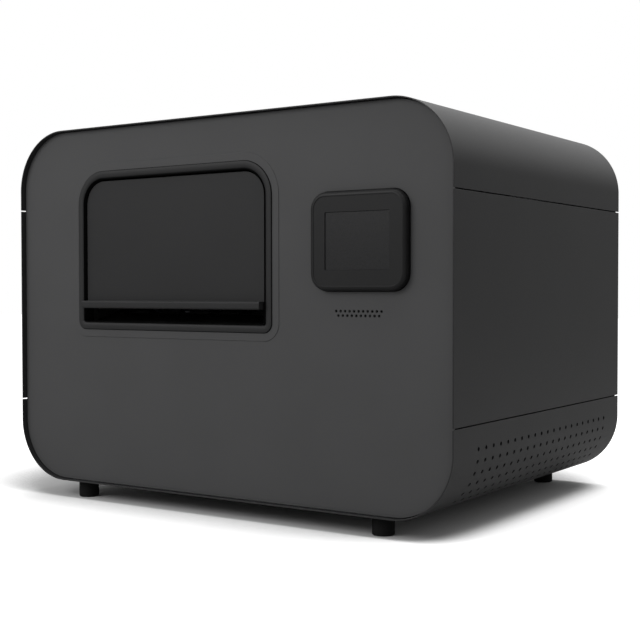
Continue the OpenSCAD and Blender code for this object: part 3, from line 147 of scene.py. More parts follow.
# %% The finishes
# slot: name, colour, roughness, grain in millimetres, bump, drift, and what else is special
FINISHES = {
    "skin_paint": ("skin powder coat", (0.02, 0.02, 0.0205), 0.42, 0.8, 0.1, 0.05, {"specular": 0.25}),
    "panel_paint": ("panel powder coat", (0.057, 0.057, 0.058), 0.6, 0.8, 0.1, 0.03, {"specular": 0.2}),
    "trim": ("trim moulding", (0.017, 0.017, 0.0175), 0.55, 0.5, 0.08, 0.04, {"specular": 0.2}),
    "display_case": ("display moulding", (0.008, 0.008, 0.0083), 0.5, 0.5, 0.06, 0.04, {"specular": 0.2}),
    "display_glass": ("display glass", (0.012, 0.012, 0.0126), 0.3, 0.6, 0.0, 0.03, {"specular": 0.3}),
    # dull_black is also the colour of the pieces that paint shade in seams, holes, vents and round
    # mouldings.
    "dull_black": ("dull black rubber", (0.002, 0.002, 0.002), 0.9, 0.6, 0.1, 0.2, {"specular": 0.05}),
    "foot_rubber": ("foot rubber", (0.006, 0.006, 0.006), 0.8, 0.6, 0.2, 0.2, {"specular": 0.12}),
    "copper": ("enamelled copper", (0.42, 0.13, 0.045), 0.3, 0.4, 0.1, 0.12, {"metallic": 0.9}),
    "liner": ("damping foam", (0.013, 0.013, 0.0135), 0.95, 1.6, 1.0, 0.25, {"sheen": 0.2}),
    "zinc_sheet": ("zinc plate", (0.52, 0.53, 0.55), 0.38, 6, 0.04, 0.12, {"metallic": 0.9}),
    "black_sheet": ("black sheet", (0.008, 0.008, 0.008), 0.5, 0.8, 0.1, 0.1, {}),
    "frame_paint": ("frame paint", (0.04, 0.041, 0.045), 0.5, 1.0, 0.15, 0.1, {}),
    "hinge_steel": ("blackened steel", (0.025, 0.025, 0.026), 0.4, 1.2, 0.1, 0.2, {"metallic": 0.5}),
    "bright_steel": ("turned steel", (0.6, 0.6, 0.62), 0.24, 0.6, 0.08, 0.06,
        {"metallic": 1.0, "stretch": (4, 1, 1)}),
    "bronze": ("sintered bronze", (0.5, 0.33, 0.16), 0.45, 0.5, 0.2, 0.15, {"metallic": 1.0}),
    "mill_aluminium": ("milled aluminium", (0.66, 0.67, 0.69), 0.34, 1.5, 0.08, 0.05,
        {"metallic": 1.0, "stretch": (1, 0.08, 1)}),
    "cylinder_steel": ("ground cylinder", (0.52, 0.52, 0.54), 0.22, 0.5, 0.06, 0.06,
        {"metallic": 1.0, "stretch": (0.1, 1, 1)}),
    "gear_steel": ("oiled gear steel", (0.26, 0.26, 0.27), 0.3, 0.8, 0.1, 0.2, {"metallic": 1.0}),
    "motor_paint": ("motor paint", (0.014, 0.014, 0.014), 0.38, 1.0, 0.15, 0.1, {}),
    "belt_rubber": ("belt rubber", (0.011, 0.011, 0.011), 0.75, 0.7, 0.2, 0.2, {}),
    "coil_plastic": ("coil cover", (0.018, 0.018, 0.0185), 0.3, 2.0, 0.03, 0.1, {}),
    "black_plastic": ("black moulding", (0.014, 0.014, 0.0145), 0.42, 0.7, 0.1, 0.1, {}),
    "pin_plastic": ("acetal", (0.62, 0.61, 0.57), 0.36, 2.0, 0.03, 0.04, {}),
    "gate_plastic": ("gate moulding", (0.035, 0.035, 0.037), 0.4, 0.7, 0.1, 0.08, {}),
    "roller_rubber": ("ground rubber", (0.02, 0.02, 0.02), 0.8, 0.5, 0.25, 0.1, {}),
    "supply_sheet": ("plain aluminium sheet", (0.6, 0.61, 0.63), 0.42, 3, 0.05, 0.06,
        {"metallic": 1.0, "stretch": (0.1, 1, 1)}),
    "board": ("solder mask", (0.012, 0.09, 0.035), 0.32, 5, 0.1, 0.2, {}),
    "rocker_plastic": ("rocker moulding", (0.009, 0.009, 0.009), 0.14, 3, 0.02, 0.1, {}),
}
finishes = {slot: grained(*row[:-1], **row[-1]) for slot, row in FINISHES.items()}
record = frame["record"]
slot_of = {s["node"]: s["material_slot"] for s in record["subparts"]}
print("finishes:", len(finishes), "slots in use:", len(set(slot_of.values())))

# %% [markdown]
# ## From a mesh to a piece
# Every piece goes through the same last steps. Its mesh becomes an object at the origin, it rides on a body
# of the mechanism, it may stand for one or more CAD nodes, and it takes its finish from a material slot. A
# real edge is never perfectly sharp, and the thin highlight on it is what makes a render look solid.
# Bevelling by hand gives the most control, but a Bevel modifier that only takes edges over a set angle gives
# the same line on all of them, and hardened normals keep the flat faces flat.

# %% Helpers that finish a piece
SHARP, EDGE = 35, 0.4


def soften(piece, width, angle=SHARP):
    """Rounds every edge that is sharper than an angle in degrees, by a width in millimetres."""
    bevel = piece.modifiers.new("edges", "BEVEL")
    bevel.width = width * MM
    bevel.segments = 2
    bevel.limit_method = "ANGLE"
    bevel.angle_limit = math.radians(angle)
    bevel.harden_normals = True
    bevel.use_clamp_overlap = False
    bevel.miter_outer = "MITER_ARC"


def make_piece(name, shape, body, slot, nodes=(), edge=EDGE, tidy=True, finish=None):
    """Turns a bmesh into a finished piece that rides on a body and stands for the nodes."""
    if tidy:
        bmesh.ops.recalc_face_normals(shape, faces=shape.faces)
    mesh = bpy.data.meshes.new(name)
    shape.to_mesh(mesh)
    shape.free()
    mesh.polygons.foreach_set("use_smooth", [True] * len(mesh.polygons))
    for layer in [a for a in mesh.attributes if a.name in ("custom_normal", "sharp_face", "sharp_edge")]:
        mesh.attributes.remove(layer)
    piece = bpy.data.objects.new(name, mesh)
    bpy.context.scene.collection.objects.link(piece)
    mesh.materials.append(finishes[finish or slot])
    if edge:
        soften(piece, edge)
    else:
        mesh.set_sharp_from_angle(angle=math.radians(SHARP))
    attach(piece, body)
    if nodes:
        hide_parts(*nodes)
    print(name, "faces", len(mesh.polygons))
    return piece


def make_painted_shade(name, shape, edge=0, tidy=True):
    """A dull black piece on the case that paints shade in seams, holes and gaps."""
    return make_piece(name, shape, "case", "belt_rubber", edge=edge, tidy=tidy, finish="dull_black")


body_of = {node: body for body, nodes in record["behaviour"]["bodies"].items() for node in nodes}

# %% [markdown]
# ## Shapes drawn on the front
# Much of the machine is flat shapes with round corners, cut from sheet and looked at from the front. Such a
# shape starts as a face with four corners. Bevelling its vertices, not its edges, rounds the corners with
# true arcs. The face is drawn in x and y and then stood up, so that its front looks towards the camera.

# %% Round-cornered faces, stood up
STAND = Matrix.Rotation(math.radians(90), 4, "X")
CORNER_STEPS, WELD_M = 20, 1e-6


def rounded_face(shape, low, high, low_radius, top_radius, segments=CORNER_STEPS):
    """A face from the corner low to the corner high, with its own radii below and above."""
    corners = [(low[0], low[1]), (high[0], low[1]), (high[0], high[1]), (low[0], high[1])]
    verts = [shape.verts.new((x * MM, y * MM, 0)) for x, y in corners]
    shape.faces.new(verts)
    for pair, radius in ((verts[:2], low_radius), (verts[2:], top_radius)):
        bmesh.ops.bevel(shape, geom=pair, offset=radius * MM, offset_type="OFFSET", segments=segments,
                        profile=0.5, affect="VERTICES", material=-1, clamp_overlap=False)


def stand_up(shape, y):
    """Turns what was drawn in x and y to face the front, y millimetres behind the case's front edge."""
    bmesh.ops.transform(shape, matrix=STAND, verts=shape.verts)
    bmesh.ops.translate(shape, vec=Vector((0, front_y + y * MM, bottom_z)), verts=shape.verts)


def draw_out(shape, edges):
    """Extrudes edges. Returns the new vertices and, of the new edges, those between two new vertices."""
    made = bmesh.ops.extrude_edge_only(shape, edges=edges)["geom"]
    moved = [g for g in made if isinstance(g, bmesh.types.BMVert)]
    fresh = set(moved)
    outer = [g for g in made if isinstance(g, bmesh.types.BMEdge) and all(v in fresh for v in g.verts)]
    return moved, outer


def outline_points(low, high, low_radius, top_radius, y):
    """The corners of a rounded outline in order, from the lower end of its left side."""
    flat = bmesh.new()
    rounded_face(flat, low, high, low_radius, top_radius)
    stand_up(flat, y)
    points = [v.co.copy() for v in flat.faces[:][0].verts]
    flat.free()
    middle = sum(points, Vector()) / len(points)
    angles = [math.atan2(p.z - middle.z, p.x - middle.x) for p in points]
    first = angles.index(min(angles))
    return points[first:] + points[:first]


def loft(sections, closed=False):
    """A body through round-cornered outlines, each given as low corner, high corner, two radii and its y."""
    rows = [outline_points(*section) for section in sections]
    rows += rows[:1] if closed else []
    shape = bmesh.new()
    verts = [shape.verts.new(p) for p in rows[0]]
    edges = [shape.edges.new(pair) for pair in zip(verts, verts[1:] + verts[:1])]
    for old, new in zip(rows, rows[1:]):
        moved, edges = draw_out(shape, edges)
        for v in moved:
            v.co = new[min(range(len(old)), key=lambda i: (old[i] - v.co).length_squared)]
    if closed:
        bmesh.ops.remove_doubles(shape, verts=shape.verts, dist=WELD_M)
    else:
        bmesh.ops.holes_fill(shape, edges=[e for e in shape.edges if e.is_boundary], sides=0)
    return shape


def grown(low, high, by):
    """The two corners of an outline moved outwards by a number of millimetres."""
    return (low[0] - by, low[1] - by), (high[0] + by, high[1] + by)


def rings(outline, low_radius, top_radius, y, section):
    """The outlines of a loft: each step of the section grows the outline and sets it back from y."""
    return [grown(*outline, out) + (low_radius + out, top_radius + out, y + down) for out, down in section]


def drawn_box(node):
    """A CAD node's box in millimetres on the case's drawing."""
    low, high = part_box(node)
    shift = at_case(0, 0, 0)
    return (low - shift) / MM, (high - shift) / MM


# %% [markdown]
# ## The case skin
# The skin is sheet metal, rolled round four long corners of 100 mm. Its top part is the hinged cover. The
# outline is drawn once as a rounded face, its face is thrown away, and the loop that is left is cut at the
# seam. The rest of the line is pulled back along the depth, and a Solidify modifier gives it the thickness
# of the sheet. A boolean of two boxes would also work, but this is how the sheet itself is made: bent
# first. The powder coat and the rounded edges fill a little of each seam, so the sheets reach 0.6 mm into
# it.

# %% The top cover
SEAM_REACH, SKIN_STEPS, COVER_EDGE = 0.6, 36, 0.5


def skin_line(shape):
    """The case's outline as a loop of edges, stood up at the skin's front edge."""
    rounded_face(shape, (-half_mm, 0), (half_mm, height_mm), CORNER_MM, CORNER_MM, SKIN_STEPS)
    bmesh.ops.delete(shape, geom=shape.faces[:], context="FACES_ONLY")
    stand_up(shape, 0)


def sheet_wall(piece, thickness):
    """Gives an open surface the thickness of its sheet, inwards from where it was drawn."""
    wall = piece.modifiers.new("sheet", "SOLIDIFY")
    wall.thickness = thickness
    wall.offset = -1
    wall.use_even_offset = True


def face_away(shape, centre):
    """Makes an open surface look away from a point inside it."""
    for face in shape.faces:
        if (face.calc_center_median() - centre).dot(face.normal) < 0:
            face.normal_flip()


inside = at_case(0, depth_mm / 2, height_mm / 2)
cover = bmesh.new()
skin_line(cover)
bmesh.ops.bisect_plane(cover, geom=cover.verts[:] + cover.edges[:],
                       plane_co=(0, 0, skin_low.z - SEAM_REACH * MM), plane_no=(0, 0, 1), clear_inner=True)
pulled = draw_out(cover, cover.edges[:])[0]
bmesh.ops.translate(cover, vec=(0, depth_mm * MM, 0), verts=pulled)
cover.normal_update()
face_away(cover, inside)
cover_shell = make_piece("cover_shell", cover, "cover", "skin_paint", ["top_cover"], edge=0, tidy=False)
sheet_wall(cover_shell, sheet)
soften(cover_shell, COVER_EDGE)

# %% [markdown]
# ## The vented skirts
# The lower rolled corners are drilled with six rows of vents. A boolean with 126 cylinders would leave long
# thin triangles on the curve, which show in the gloss. Instead the sheet is laid flat as a grid whose
# squares are an eighth of the vents' spacing. Round every vent a block of four by four squares is taken
# out, and the rim of the hole is extruded in to a circle. Then the whole sheet is rolled round its corner.
# The vents are a little wider than in the CAD model, by their broken edge, and a black sheet behind them
# paints the shade that makes them look dark.

# %% The flat grid with its vents
VENT_PITCH, VENT_START, VENT_COLUMNS, VENT_ROWS, VENT_STEP = 24.55, 77.0, 21, 6, 10.4
VENT_RADIUS, CELLS, CURVE_STEPS, ON_LINE = 3.2, 8, 14, 0.001
row_pitch = CORNER_MM * math.radians(VENT_STEP)
skirt_top = drawn_box("vent_skirt_right")[1].z + SEAM_REACH
straight = skirt_top - CORNER_MM
girth = straight + CORNER_MM * math.pi / 2


def grow_border(flat, axis, end, goal, steps):
    """Extrudes one border of the sheet, the low or the high one along an axis, out to a goal."""
    for step in range(steps, 0, -1):
        limit = end(v.co[axis] for v in flat.verts)
        border = [e for e in flat.edges if all(abs(v.co[axis] - limit) < ON_LINE for v in e.verts)]
        moved = draw_out(flat, border)[0]
        shift = [0.0, 0.0, 0.0]
        shift[axis] = (goal - limit) / step
        bmesh.ops.translate(flat, vec=shift, verts=moved)


def vented_sheet():
    """The flat sheet: x along the case's depth, y along the girth from the seam down, in millimetres."""
    flat = bmesh.new()
    wide, high = VENT_PITCH * VENT_COLUMNS, row_pitch * VENT_ROWS
    bmesh.ops.create_grid(flat, x_segments=CELLS * VENT_COLUMNS, y_segments=CELLS * VENT_ROWS, size=0.5)
    bmesh.ops.scale(flat, vec=(wide, high, 1), verts=flat.verts)
    middle = (VENT_START + (wide - VENT_PITCH) / 2, straight + (high - row_pitch) / 2, 0)
    bmesh.ops.translate(flat, vec=middle, verts=flat.verts)
    blocks = {}
    for face in flat.faces:
        c = face.calc_center_median()
        i = round((c.x - VENT_START) / VENT_PITCH)
        k = round((c.y - straight) / row_pitch)
        dx, dy = c.x - VENT_START - i * VENT_PITCH, c.y - straight - k * row_pitch
        if abs(dx) < VENT_PITCH / 4 and abs(dy) < row_pitch / 4:
            blocks.setdefault((i, k), []).append(face)
    for (i, k), faces in blocks.items():
        inner = set(faces)
        rim = [e for f in faces for e in f.edges if sum(g in inner for g in e.link_faces) == 1]
        bmesh.ops.delete(flat, geom=faces, context="FACES")
        ring = draw_out(flat, rim)[0]
        middle = Vector((VENT_START + i * VENT_PITCH, straight + k * row_pitch, 0))
        ring.sort(key=lambda v: math.atan2(v.co.y - middle.y, v.co.x - middle.x))
        first = math.atan2(ring[0].co.y - middle.y, ring[0].co.x - middle.x)
        for n, v in enumerate(ring):
            turn = first + n * 2 * math.pi / len(ring)
            v.co = middle + VENT_RADIUS * Vector((math.cos(turn), math.sin(turn), 0))
    grow_border(flat, 1, min, 0.0, 2)
    grow_border(flat, 1, max, girth, CURVE_STEPS)
    grow_border(flat, 0, min, 0.0, 2)
    grow_border(flat, 0, max, depth_mm, 2)
    return flat


print("vents on each skirt:", VENT_COLUMNS * VENT_ROWS)

# %% [markdown]
# Rolling is one rule for every point: the flat part stays upright, and below it the distance down the sheet
# becomes an angle round the corner. The same rule bends the painted shade sheet, drawn flat like the vented
# one and then moved inwards along its normals. Solidify modifiers give both of them their thickness.

# %% Rolled skirts with the painted shade behind their vents
VENT_SHADE_T, VENT_SHADE_GAP, VENT_SHADE_EDGE, VENT_SHADE_STEPS = 2.0, 0.2, 11.0, 24
VENT_EDGE, VENT_SHARP = 0.35, 50


def roll(flat, side):
    """Rolls the flat sheet round its corner on the right, side 1, or on the left, side -1."""
    for v in flat.verts:
        along, down = v.co.x, v.co.y
        if down <= straight:
            x, z = half_mm, skirt_top - down
        else:
            turn = (down - straight) / CORNER_MM
            x = half_mm - CORNER_MM * (1 - math.cos(turn))
            z = CORNER_MM * (1 - math.sin(turn))
        v.co = at_case(side * x, along, z)


def vent_shade_sheet():
    """A flat black sheet that lies behind all vents and paints the shade in them, drawn like the vented
    sheet.
    """
    flat = bmesh.new()
    wide = VENT_PITCH * (VENT_COLUMNS - 1) + 2 * VENT_SHADE_EDGE
    high = row_pitch * (VENT_ROWS - 1) + 2 * VENT_SHADE_EDGE
    bmesh.ops.create_grid(flat, x_segments=2, y_segments=VENT_SHADE_STEPS, size=0.5)
    bmesh.ops.scale(flat, vec=(wide, high, 1), verts=flat.verts)
    middle = (VENT_START + wide / 2 - VENT_SHADE_EDGE, straight + high / 2 - VENT_SHADE_EDGE, 0)
    bmesh.ops.translate(flat, vec=middle, verts=flat.verts)
    return flat


for side, node in ((1, "vent_skirt_right"), (-1, "vent_skirt_left")):
    skirt = vented_sheet()
    roll(skirt, side)
    skirt.normal_update()
    face_away(skirt, inside)
    sheet_piece = make_piece(node + "_sheet", skirt, "case", "skin_paint", [node], edge=0, tidy=False)
    sheet_wall(sheet_piece, sheet)
    soften(sheet_piece, VENT_EDGE, angle=VENT_SHARP)
    # A black sheet behind the vents paints the shade inside them.
    vent_shade = vent_shade_sheet()
    roll(vent_shade, side)
    vent_shade.normal_update()
    face_away(vent_shade, inside)
    vent_shade.normal_update()
    for v in vent_shade.verts:
        v.co -= v.normal * (sheet + VENT_SHADE_GAP * MM)
    sheet_wall(make_painted_shade(node + "_vent_shade", vent_shade, tidy=False), VENT_SHADE_T * MM)

# %% [markdown]
# ## Folded edges of the skirts
# Along its upper edge each skirt is folded inwards, and the fold rests on the seam rail. The fold is out of
# sight behind the seam, so a plain block of sheet with broken edges is enough. It is a cube scaled to size.

# %% The folds
def block(shape, low, high):
    """A box between two corners, given in millimetres on the case's drawing."""
    a, b = at_case(*low), at_case(*high)
    made = bmesh.ops.create_cube(shape, size=1.0)
    bmesh.ops.scale(shape, vec=b - a, verts=made["verts"])
    bmesh.ops.translate(shape, vec=(a + b) / 2, verts=made["verts"])
    return made["verts"]


FOLD_WIDE, FOLD_ENDS, SHEET_MM = 20.0, 31.0, sheet / MM
for side, name in ((1, "skirt_fold_right"), (-1, "skirt_fold_left")):
    fold = bmesh.new()
    outer = half_mm - SHEET_MM
    xs = sorted((side * outer, side * (outer - FOLD_WIDE)))
    block(fold, (xs[0], FOLD_ENDS, skirt_top - SHEET_MM), (xs[1], depth_mm - FOLD_ENDS, skirt_top))
    make_piece(name, fold, "case", "skin_paint")

# %% [markdown]
# ## Pieces that keep the CAD model's shape
# Most pieces have their true shape in the CAD model, but its mesh is loose triangles with knife edges. A
# copy of that mesh is merged, its flat parts are joined to whole faces again, and its edges get the same
# fine bevel as the pieces modelled here. Only the width of the bevel differs: a moulding has rounder edges
# than cut sheet. Round the small sound holes a bevel would not fit between two holes, so there the edges
# stay sharp. The side panels also reach a little further into the two seams, as the cover and the skirts
# do.

# %% Dressed copies of CAD nodes
MERGE_M, FLAT_ENOUGH, RIM_DEEP = 2e-6, math.radians(0.6), 1.5


def spare_small_holes(piece, longest):
    """Bevels only the sharp edges longer than a number of millimetres, so small holes keep their rims."""
    shape = bmesh.new()
    shape.from_mesh(piece.data)
    weight = shape.edges.layers.float.new("bevel_weight_edge")
    for edge in shape.edges:
        if edge.is_manifold and edge.calc_face_angle() > math.radians(SHARP):
            edge[weight] = float(edge.calc_length() > longest * MM)
            edge.smooth = edge.calc_length() > longest * MM
    shape.to_mesh(piece.data)
    shape.free()
    piece.modifiers["edges"].limit_method = "WEIGHT"


def copy_of(node):
    """The CAD node's mesh, merged, with its flat triangles joined into faces."""
    shape = bmesh.new()
    shape.from_mesh(frame["nodes"][node].data)
    bmesh.ops.remove_doubles(shape, verts=shape.verts, dist=MERGE_M)
    bmesh.ops.dissolve_limit(shape, angle_limit=FLAT_ENOUGH, verts=shape.verts, edges=shape.edges)
    return shape


EDGES = {
    0.2: "foot_screws hinge_pins timing_belts lower_cylinder upper_cylinder pin_wheel_left pin_wheel_right "
         "fan_rotor",
    0.25: "lower_gear upper_gear solenoids",
    0.3: "display_glass hinge_knuckles hinge_leaves flap_shaft paper_guides exit_chute shaft_bushes "
         "drive_pulley motor_pulley feed_motor_pulley feed_shaft power_rocker",
    0.4: "floor_sheet rear_panel corner_gussets cover_rails frame_rods gate_left gate_right exit_roller "
         "pinch_rollers rear_sockets",
    0.5: "front_panel window_flap display_module rubber_feet base_tray speaker side_frame_left "
         "side_frame_right cylinder_bearings tractor_left tractor_right fan_housing power_supply",
    0.6: "drive_motor feed_motor solenoid_rail",
    0.8: "corner_posts seam_rails",
}
for width, nodes in EDGES.items():
    for node in nodes.split():
        make_piece(node + "_piece", copy_of(node), body_of[node], slot_of[node], [node], edge=width,
                   tidy=False)
spare_small_holes(bpy.data.objects["front_panel_piece"], 0.5)
for node in ("side_panel_left", "side_panel_right"):
    panel = copy_of(node)
    low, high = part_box(node)
    for end, way in ((high.z, 1), (low.z, -1)):
        rim = [v for v in panel.verts if abs(v.co.z - end) < RIM_DEEP * sheet]
        bmesh.ops.translate(panel, vec=(0, 0, way * SEAM_REACH * MM), verts=rim)
    make_piece(node + "_piece", panel, "case", "skin_paint", [node], edge=0.5, tidy=False)

# %% [markdown]
# ## Painted shade in the seams and the sound holes
# Through the ends of the seams one would see the pale rims of the front and rear panels, so a thin black
# strip stuck to the rims paints the shade there. Each sound hole holds a small black cup that paints the
# shade inside the hole. All are thin, and what counts is that they are dull
# and black.

# %% Painted shade in the seams and sound holes
SEAM_SHADE_T, SEAM_SHADE_HIGH, SEAM_SHADE_GAP, SEAM_SHADE_START = 0.5, 9.0, 0.15, 0.5
HALF_SEAM, SURROUND_T = 1.5, 1.0
inner_x = half_mm - SHEET_MM
seams = [drawn_box("top_cover")[0].z - HALF_SEAM, drawn_box("vent_skirt_right")[1].z + HALF_SEAM]
lip_mm = drawn_box("front_panel")[0].y + SURROUND_T
# Black strips in the seam gaps paint the shade in them.
seam_shade = bmesh.new()
for z in seams:
    for side in (1, -1):
        start = lip_mm + SEAM_SHADE_START
        for y0, y1 in ((start, FOLD_ENDS), (depth_mm - FOLD_ENDS, depth_mm - start)):
            xs = sorted((side * (inner_x - SEAM_SHADE_GAP), side * (inner_x - SEAM_SHADE_GAP - SEAM_SHADE_T)))
            block(seam_shade, (xs[0], y0, z - SEAM_SHADE_HIGH / 2), (xs[1], y1, z + SEAM_SHADE_HIGH / 2))
make_painted_shade("seam_painted_shade", seam_shade, edge=0.1)

SOUND_D, SOUND_PITCH, SOUND_COUNT, SOUND_ROW, SOUND_Z, SOUND_SHIFT = 3.0, 7.68, 11, 6.5, 294.8, -3.5
HOLE_SHADE_R, HOLE_SHADE_L, HOLE_SHADE_LIP, HOLE_SHADE_BACK = 2.1, 2.1, 0.45, 0.9
HOLE_SHADE_IN, HOLE_SHADE_SIDES, HAIR = 0.95, 24, 0.02
display_low, display_high = drawn_box("display_block")
sound_x = (display_low.x + display_high.x) / 2 + SOUND_SHIFT
# Black cups in the sound holes paint the shade inside them.
hole_shades = bmesh.new()
for row in range(2):
    count = SOUND_COUNT - row
    for i in range(count):
        x = sound_x + (i - (count - 1) / 2) * SOUND_PITCH
        spot = Matrix.Translation(at_case(x, lip_mm + HOLE_SHADE_IN, SOUND_Z - row * SOUND_ROW))
        made = bmesh.ops.create_cone(hole_shades, cap_ends=True, segments=HOLE_SHADE_SIDES,
                                     radius1=(SOUND_D / 2 - HAIR) * MM, radius2=HOLE_SHADE_R * MM,
                                     depth=HOLE_SHADE_L * MM, matrix=spot @ STAND)
        ends = {f for v in made["verts"] for f in v.link_faces if len(f.verts) == HOLE_SHADE_SIDES}
        face = min(ends, key=lambda f: f.calc_center_median().y)
        bmesh.ops.inset_individual(hole_shades, faces=[face], thickness=HOLE_SHADE_LIP * MM)
        bmesh.ops.inset_individual(hole_shades, faces=[face], thickness=HAIR * MM, depth=-HOLE_SHADE_BACK * MM)
make_painted_shade("sound_hole_shades", hole_shades)

# %% [markdown]
# ## The window frame and the display block
# Both are mouldings whose section counts more than their outline: the frame rolls over into its collar, and
# the display block has a round shoulder and a face set back by less than a millimetre. Such a body is a row
# of round-cornered outlines, each extruded from the one before. A sweep along a curve would do for the
# frame, but not for its unlike upper and lower corners. A black band under the frame paints the dark line
# of shade round its outline, and a black strip lines its opening and paints the shade in the flap's gap.

# %% The window frame with the painted shade in its gap and round its outline
frame_low, frame_high = drawn_box("window_frame")
FRAME_FACE, FRAME_T, WINDOW_R, SILL_R, FRAME_LOW_R, COLLAR_T = 12.6, 2.0, 42.0, 2.5, 15.0, 3.0
opening = grown((frame_low.x, frame_low.z), (frame_high.x, frame_high.z), -FRAME_FACE)
face_y, back_y = frame_low.y, frame_high.y
FRAME_PROFILE = [(FRAME_FACE, FRAME_T), (FRAME_FACE, 0.9), (12.3, 0.3), (11.6, 0.0), (7.0, 0.0), (4.8, 0.15),
                 (2.9, 0.7), (1.4, 1.8), (0.4, 3.5), (0.0, 5.6)]
sections = [(out, face_y + down) for out, down in FRAME_PROFILE]
sections += [(0.0, back_y), (COLLAR_T, back_y), (COLLAR_T, face_y + FRAME_T)]
ring = [grown(*opening, out) + (SILL_R + out * (FRAME_LOW_R - SILL_R) / FRAME_FACE, WINDOW_R + out, y)
        for out, y in sections]
make_piece("window_frame_moulding", loft(ring, closed=True), "case", "trim", ["window_frame"], edge=0)

# A black strip in the opening paints the shade in the flap's gap.
EDGE_SHADE_OUT, EDGE_SHADE_IN, EDGE_SHADE_END = 0.5, 0.5, 12.0
edge_shade = [(EDGE_SHADE_OUT, 0.3), (EDGE_SHADE_OUT - 0.1, -0.15), (0.0, -0.3), (-EDGE_SHADE_IN + 0.3, -0.15), (-EDGE_SHADE_IN, 0.4),
          (-EDGE_SHADE_IN, back_y - face_y - EDGE_SHADE_END), (0.2, back_y - face_y - EDGE_SHADE_END)]
make_painted_shade("window_edge_shade", loft(rings(opening, SILL_R, WINDOW_R, face_y, edge_shade), closed=True))

# A black band under the frame, a little wider than it, paints the dark line of shade round its outline.
FRAME_SHADE_IN, FRAME_SHADE_OUT, FRAME_SHADE_T, BITE = 11.0, FRAME_FACE + 0.7, 0.7, 0.05
shade_section = [(FRAME_SHADE_IN, FRAME_T + BITE), (FRAME_SHADE_IN, FRAME_T - FRAME_SHADE_T), (FRAME_SHADE_OUT, FRAME_T - FRAME_SHADE_T),
            (FRAME_SHADE_OUT, FRAME_T + BITE)]
band = rings(opening, FRAME_LOW_R - FRAME_FACE, WINDOW_R, face_y, shade_section)
make_painted_shade("window_frame_shade", loft(band, closed=True))

# %% The display block with the painted shade round its outline
SHOULDER, SHOULDER_DRAW, SHOULDER_STEPS, DISPLAY_R = 7.2, 0.88, 6, 26.0
FACE_SET_BACK, FACE_EDGE, FACE_DROP = 0.8, 0.2, 0.15
GLASS_R, GLASS_ROOM, GLASS_CHAMFER, GLASS_BED = 1.3, 0.3, 0.3, 0.2
outline = ((display_low.x, display_low.z), (display_high.x, display_high.z))
front, back = display_low.y, display_high.y
glass_low, glass_high = drawn_box("display_glass")
glass = ((glass_low.x, glass_low.z), (glass_high.x, glass_high.z))
steps = [(0.0, back - front), (0.0, SHOULDER)]
for n in range(1, SHOULDER_STEPS + 1):
    t = math.pi / 2 * n / SHOULDER_STEPS
    steps.append((SHOULDER * (math.cos(t) - 1) * SHOULDER_DRAW, SHOULDER * (1 - math.sin(t))))
steps += [(FACE_EDGE - SHOULDER, FACE_DROP), (-SHOULDER, FACE_SET_BACK)]
body = rings(outline, DISPLAY_R, DISPLAY_R, front, steps)
rim, face = GLASS_R + GLASS_ROOM, front + FACE_SET_BACK
body += [grown(*glass, GLASS_ROOM) + (rim, rim, face), glass + (GLASS_R, GLASS_R, face + GLASS_CHAMFER),
         glass + (GLASS_R, GLASS_R, glass_low.y + GLASS_BED)]
make_piece("display_block_moulding", loft(body), "case", "display_case", ["display_block"], edge=0)
# A black band behind the block, a little wider than it, paints the dark line of shade round its outline.
OUTLINE_SHADE_IN, OUTLINE_SHADE_OUT, OUTLINE_SHADE_T = -2.0, 1.1, 1.2
shade_section = [(OUTLINE_SHADE_IN, BITE), (OUTLINE_SHADE_IN, -OUTLINE_SHADE_T), (OUTLINE_SHADE_OUT, -OUTLINE_SHADE_T), (OUTLINE_SHADE_OUT, BITE)]
make_painted_shade("display_outline_shade", loft(rings(outline, DISPLAY_R, DISPLAY_R, back, shade_section), closed=True))

# %% [markdown]
# ## The damping liner
# Three pads of black foam are stuck under the cover. Foam is cut with a blade and then sags a little, so a
# pad has a flat glued side, sides that draw in and a lower face that rises towards rounded edges. A cloth
# simulation would overdo it for a stiff foam, so the lower face is a grid whose points are lifted near the
# edges.

# %% Foam pads
EDGE_ROUND, SAG, FOAM_GRID, SAG_X, SAG_Y = 5.0, 0.35, 6, 23, 31
WAIST, WAIST_AT, FLARE = 0.8, 0.75, 0.72


def solids_of(node):
    """The boxes of a CAD node's separate solids, in millimetres on the case's drawing."""
    shape = bmesh.new()
    shape.from_mesh(frame["nodes"][node].data)
    bmesh.ops.remove_doubles(shape, verts=shape.verts, dist=MERGE_M)
    left, boxes, shift = set(shape.verts), [], at_case(0, 0, 0)
    while left:
        group, stack = set(), [left.pop()]
        while stack:
            v = stack.pop()
            group.add(v)
            for e in v.link_edges:
                other = e.other_vert(v)
                if other in left:
                    left.discard(other)
                    stack.append(other)
        places = [(v.co - shift) / MM for v in group]
        boxes.append((Vector([min(p[k] for p in places) for k in range(3)]),
                      Vector([max(p[k] for p in places) for k in range(3)])))
    shape.free()
    return sorted(boxes, key=lambda box: tuple(round(c, 2) for c in box[0]))


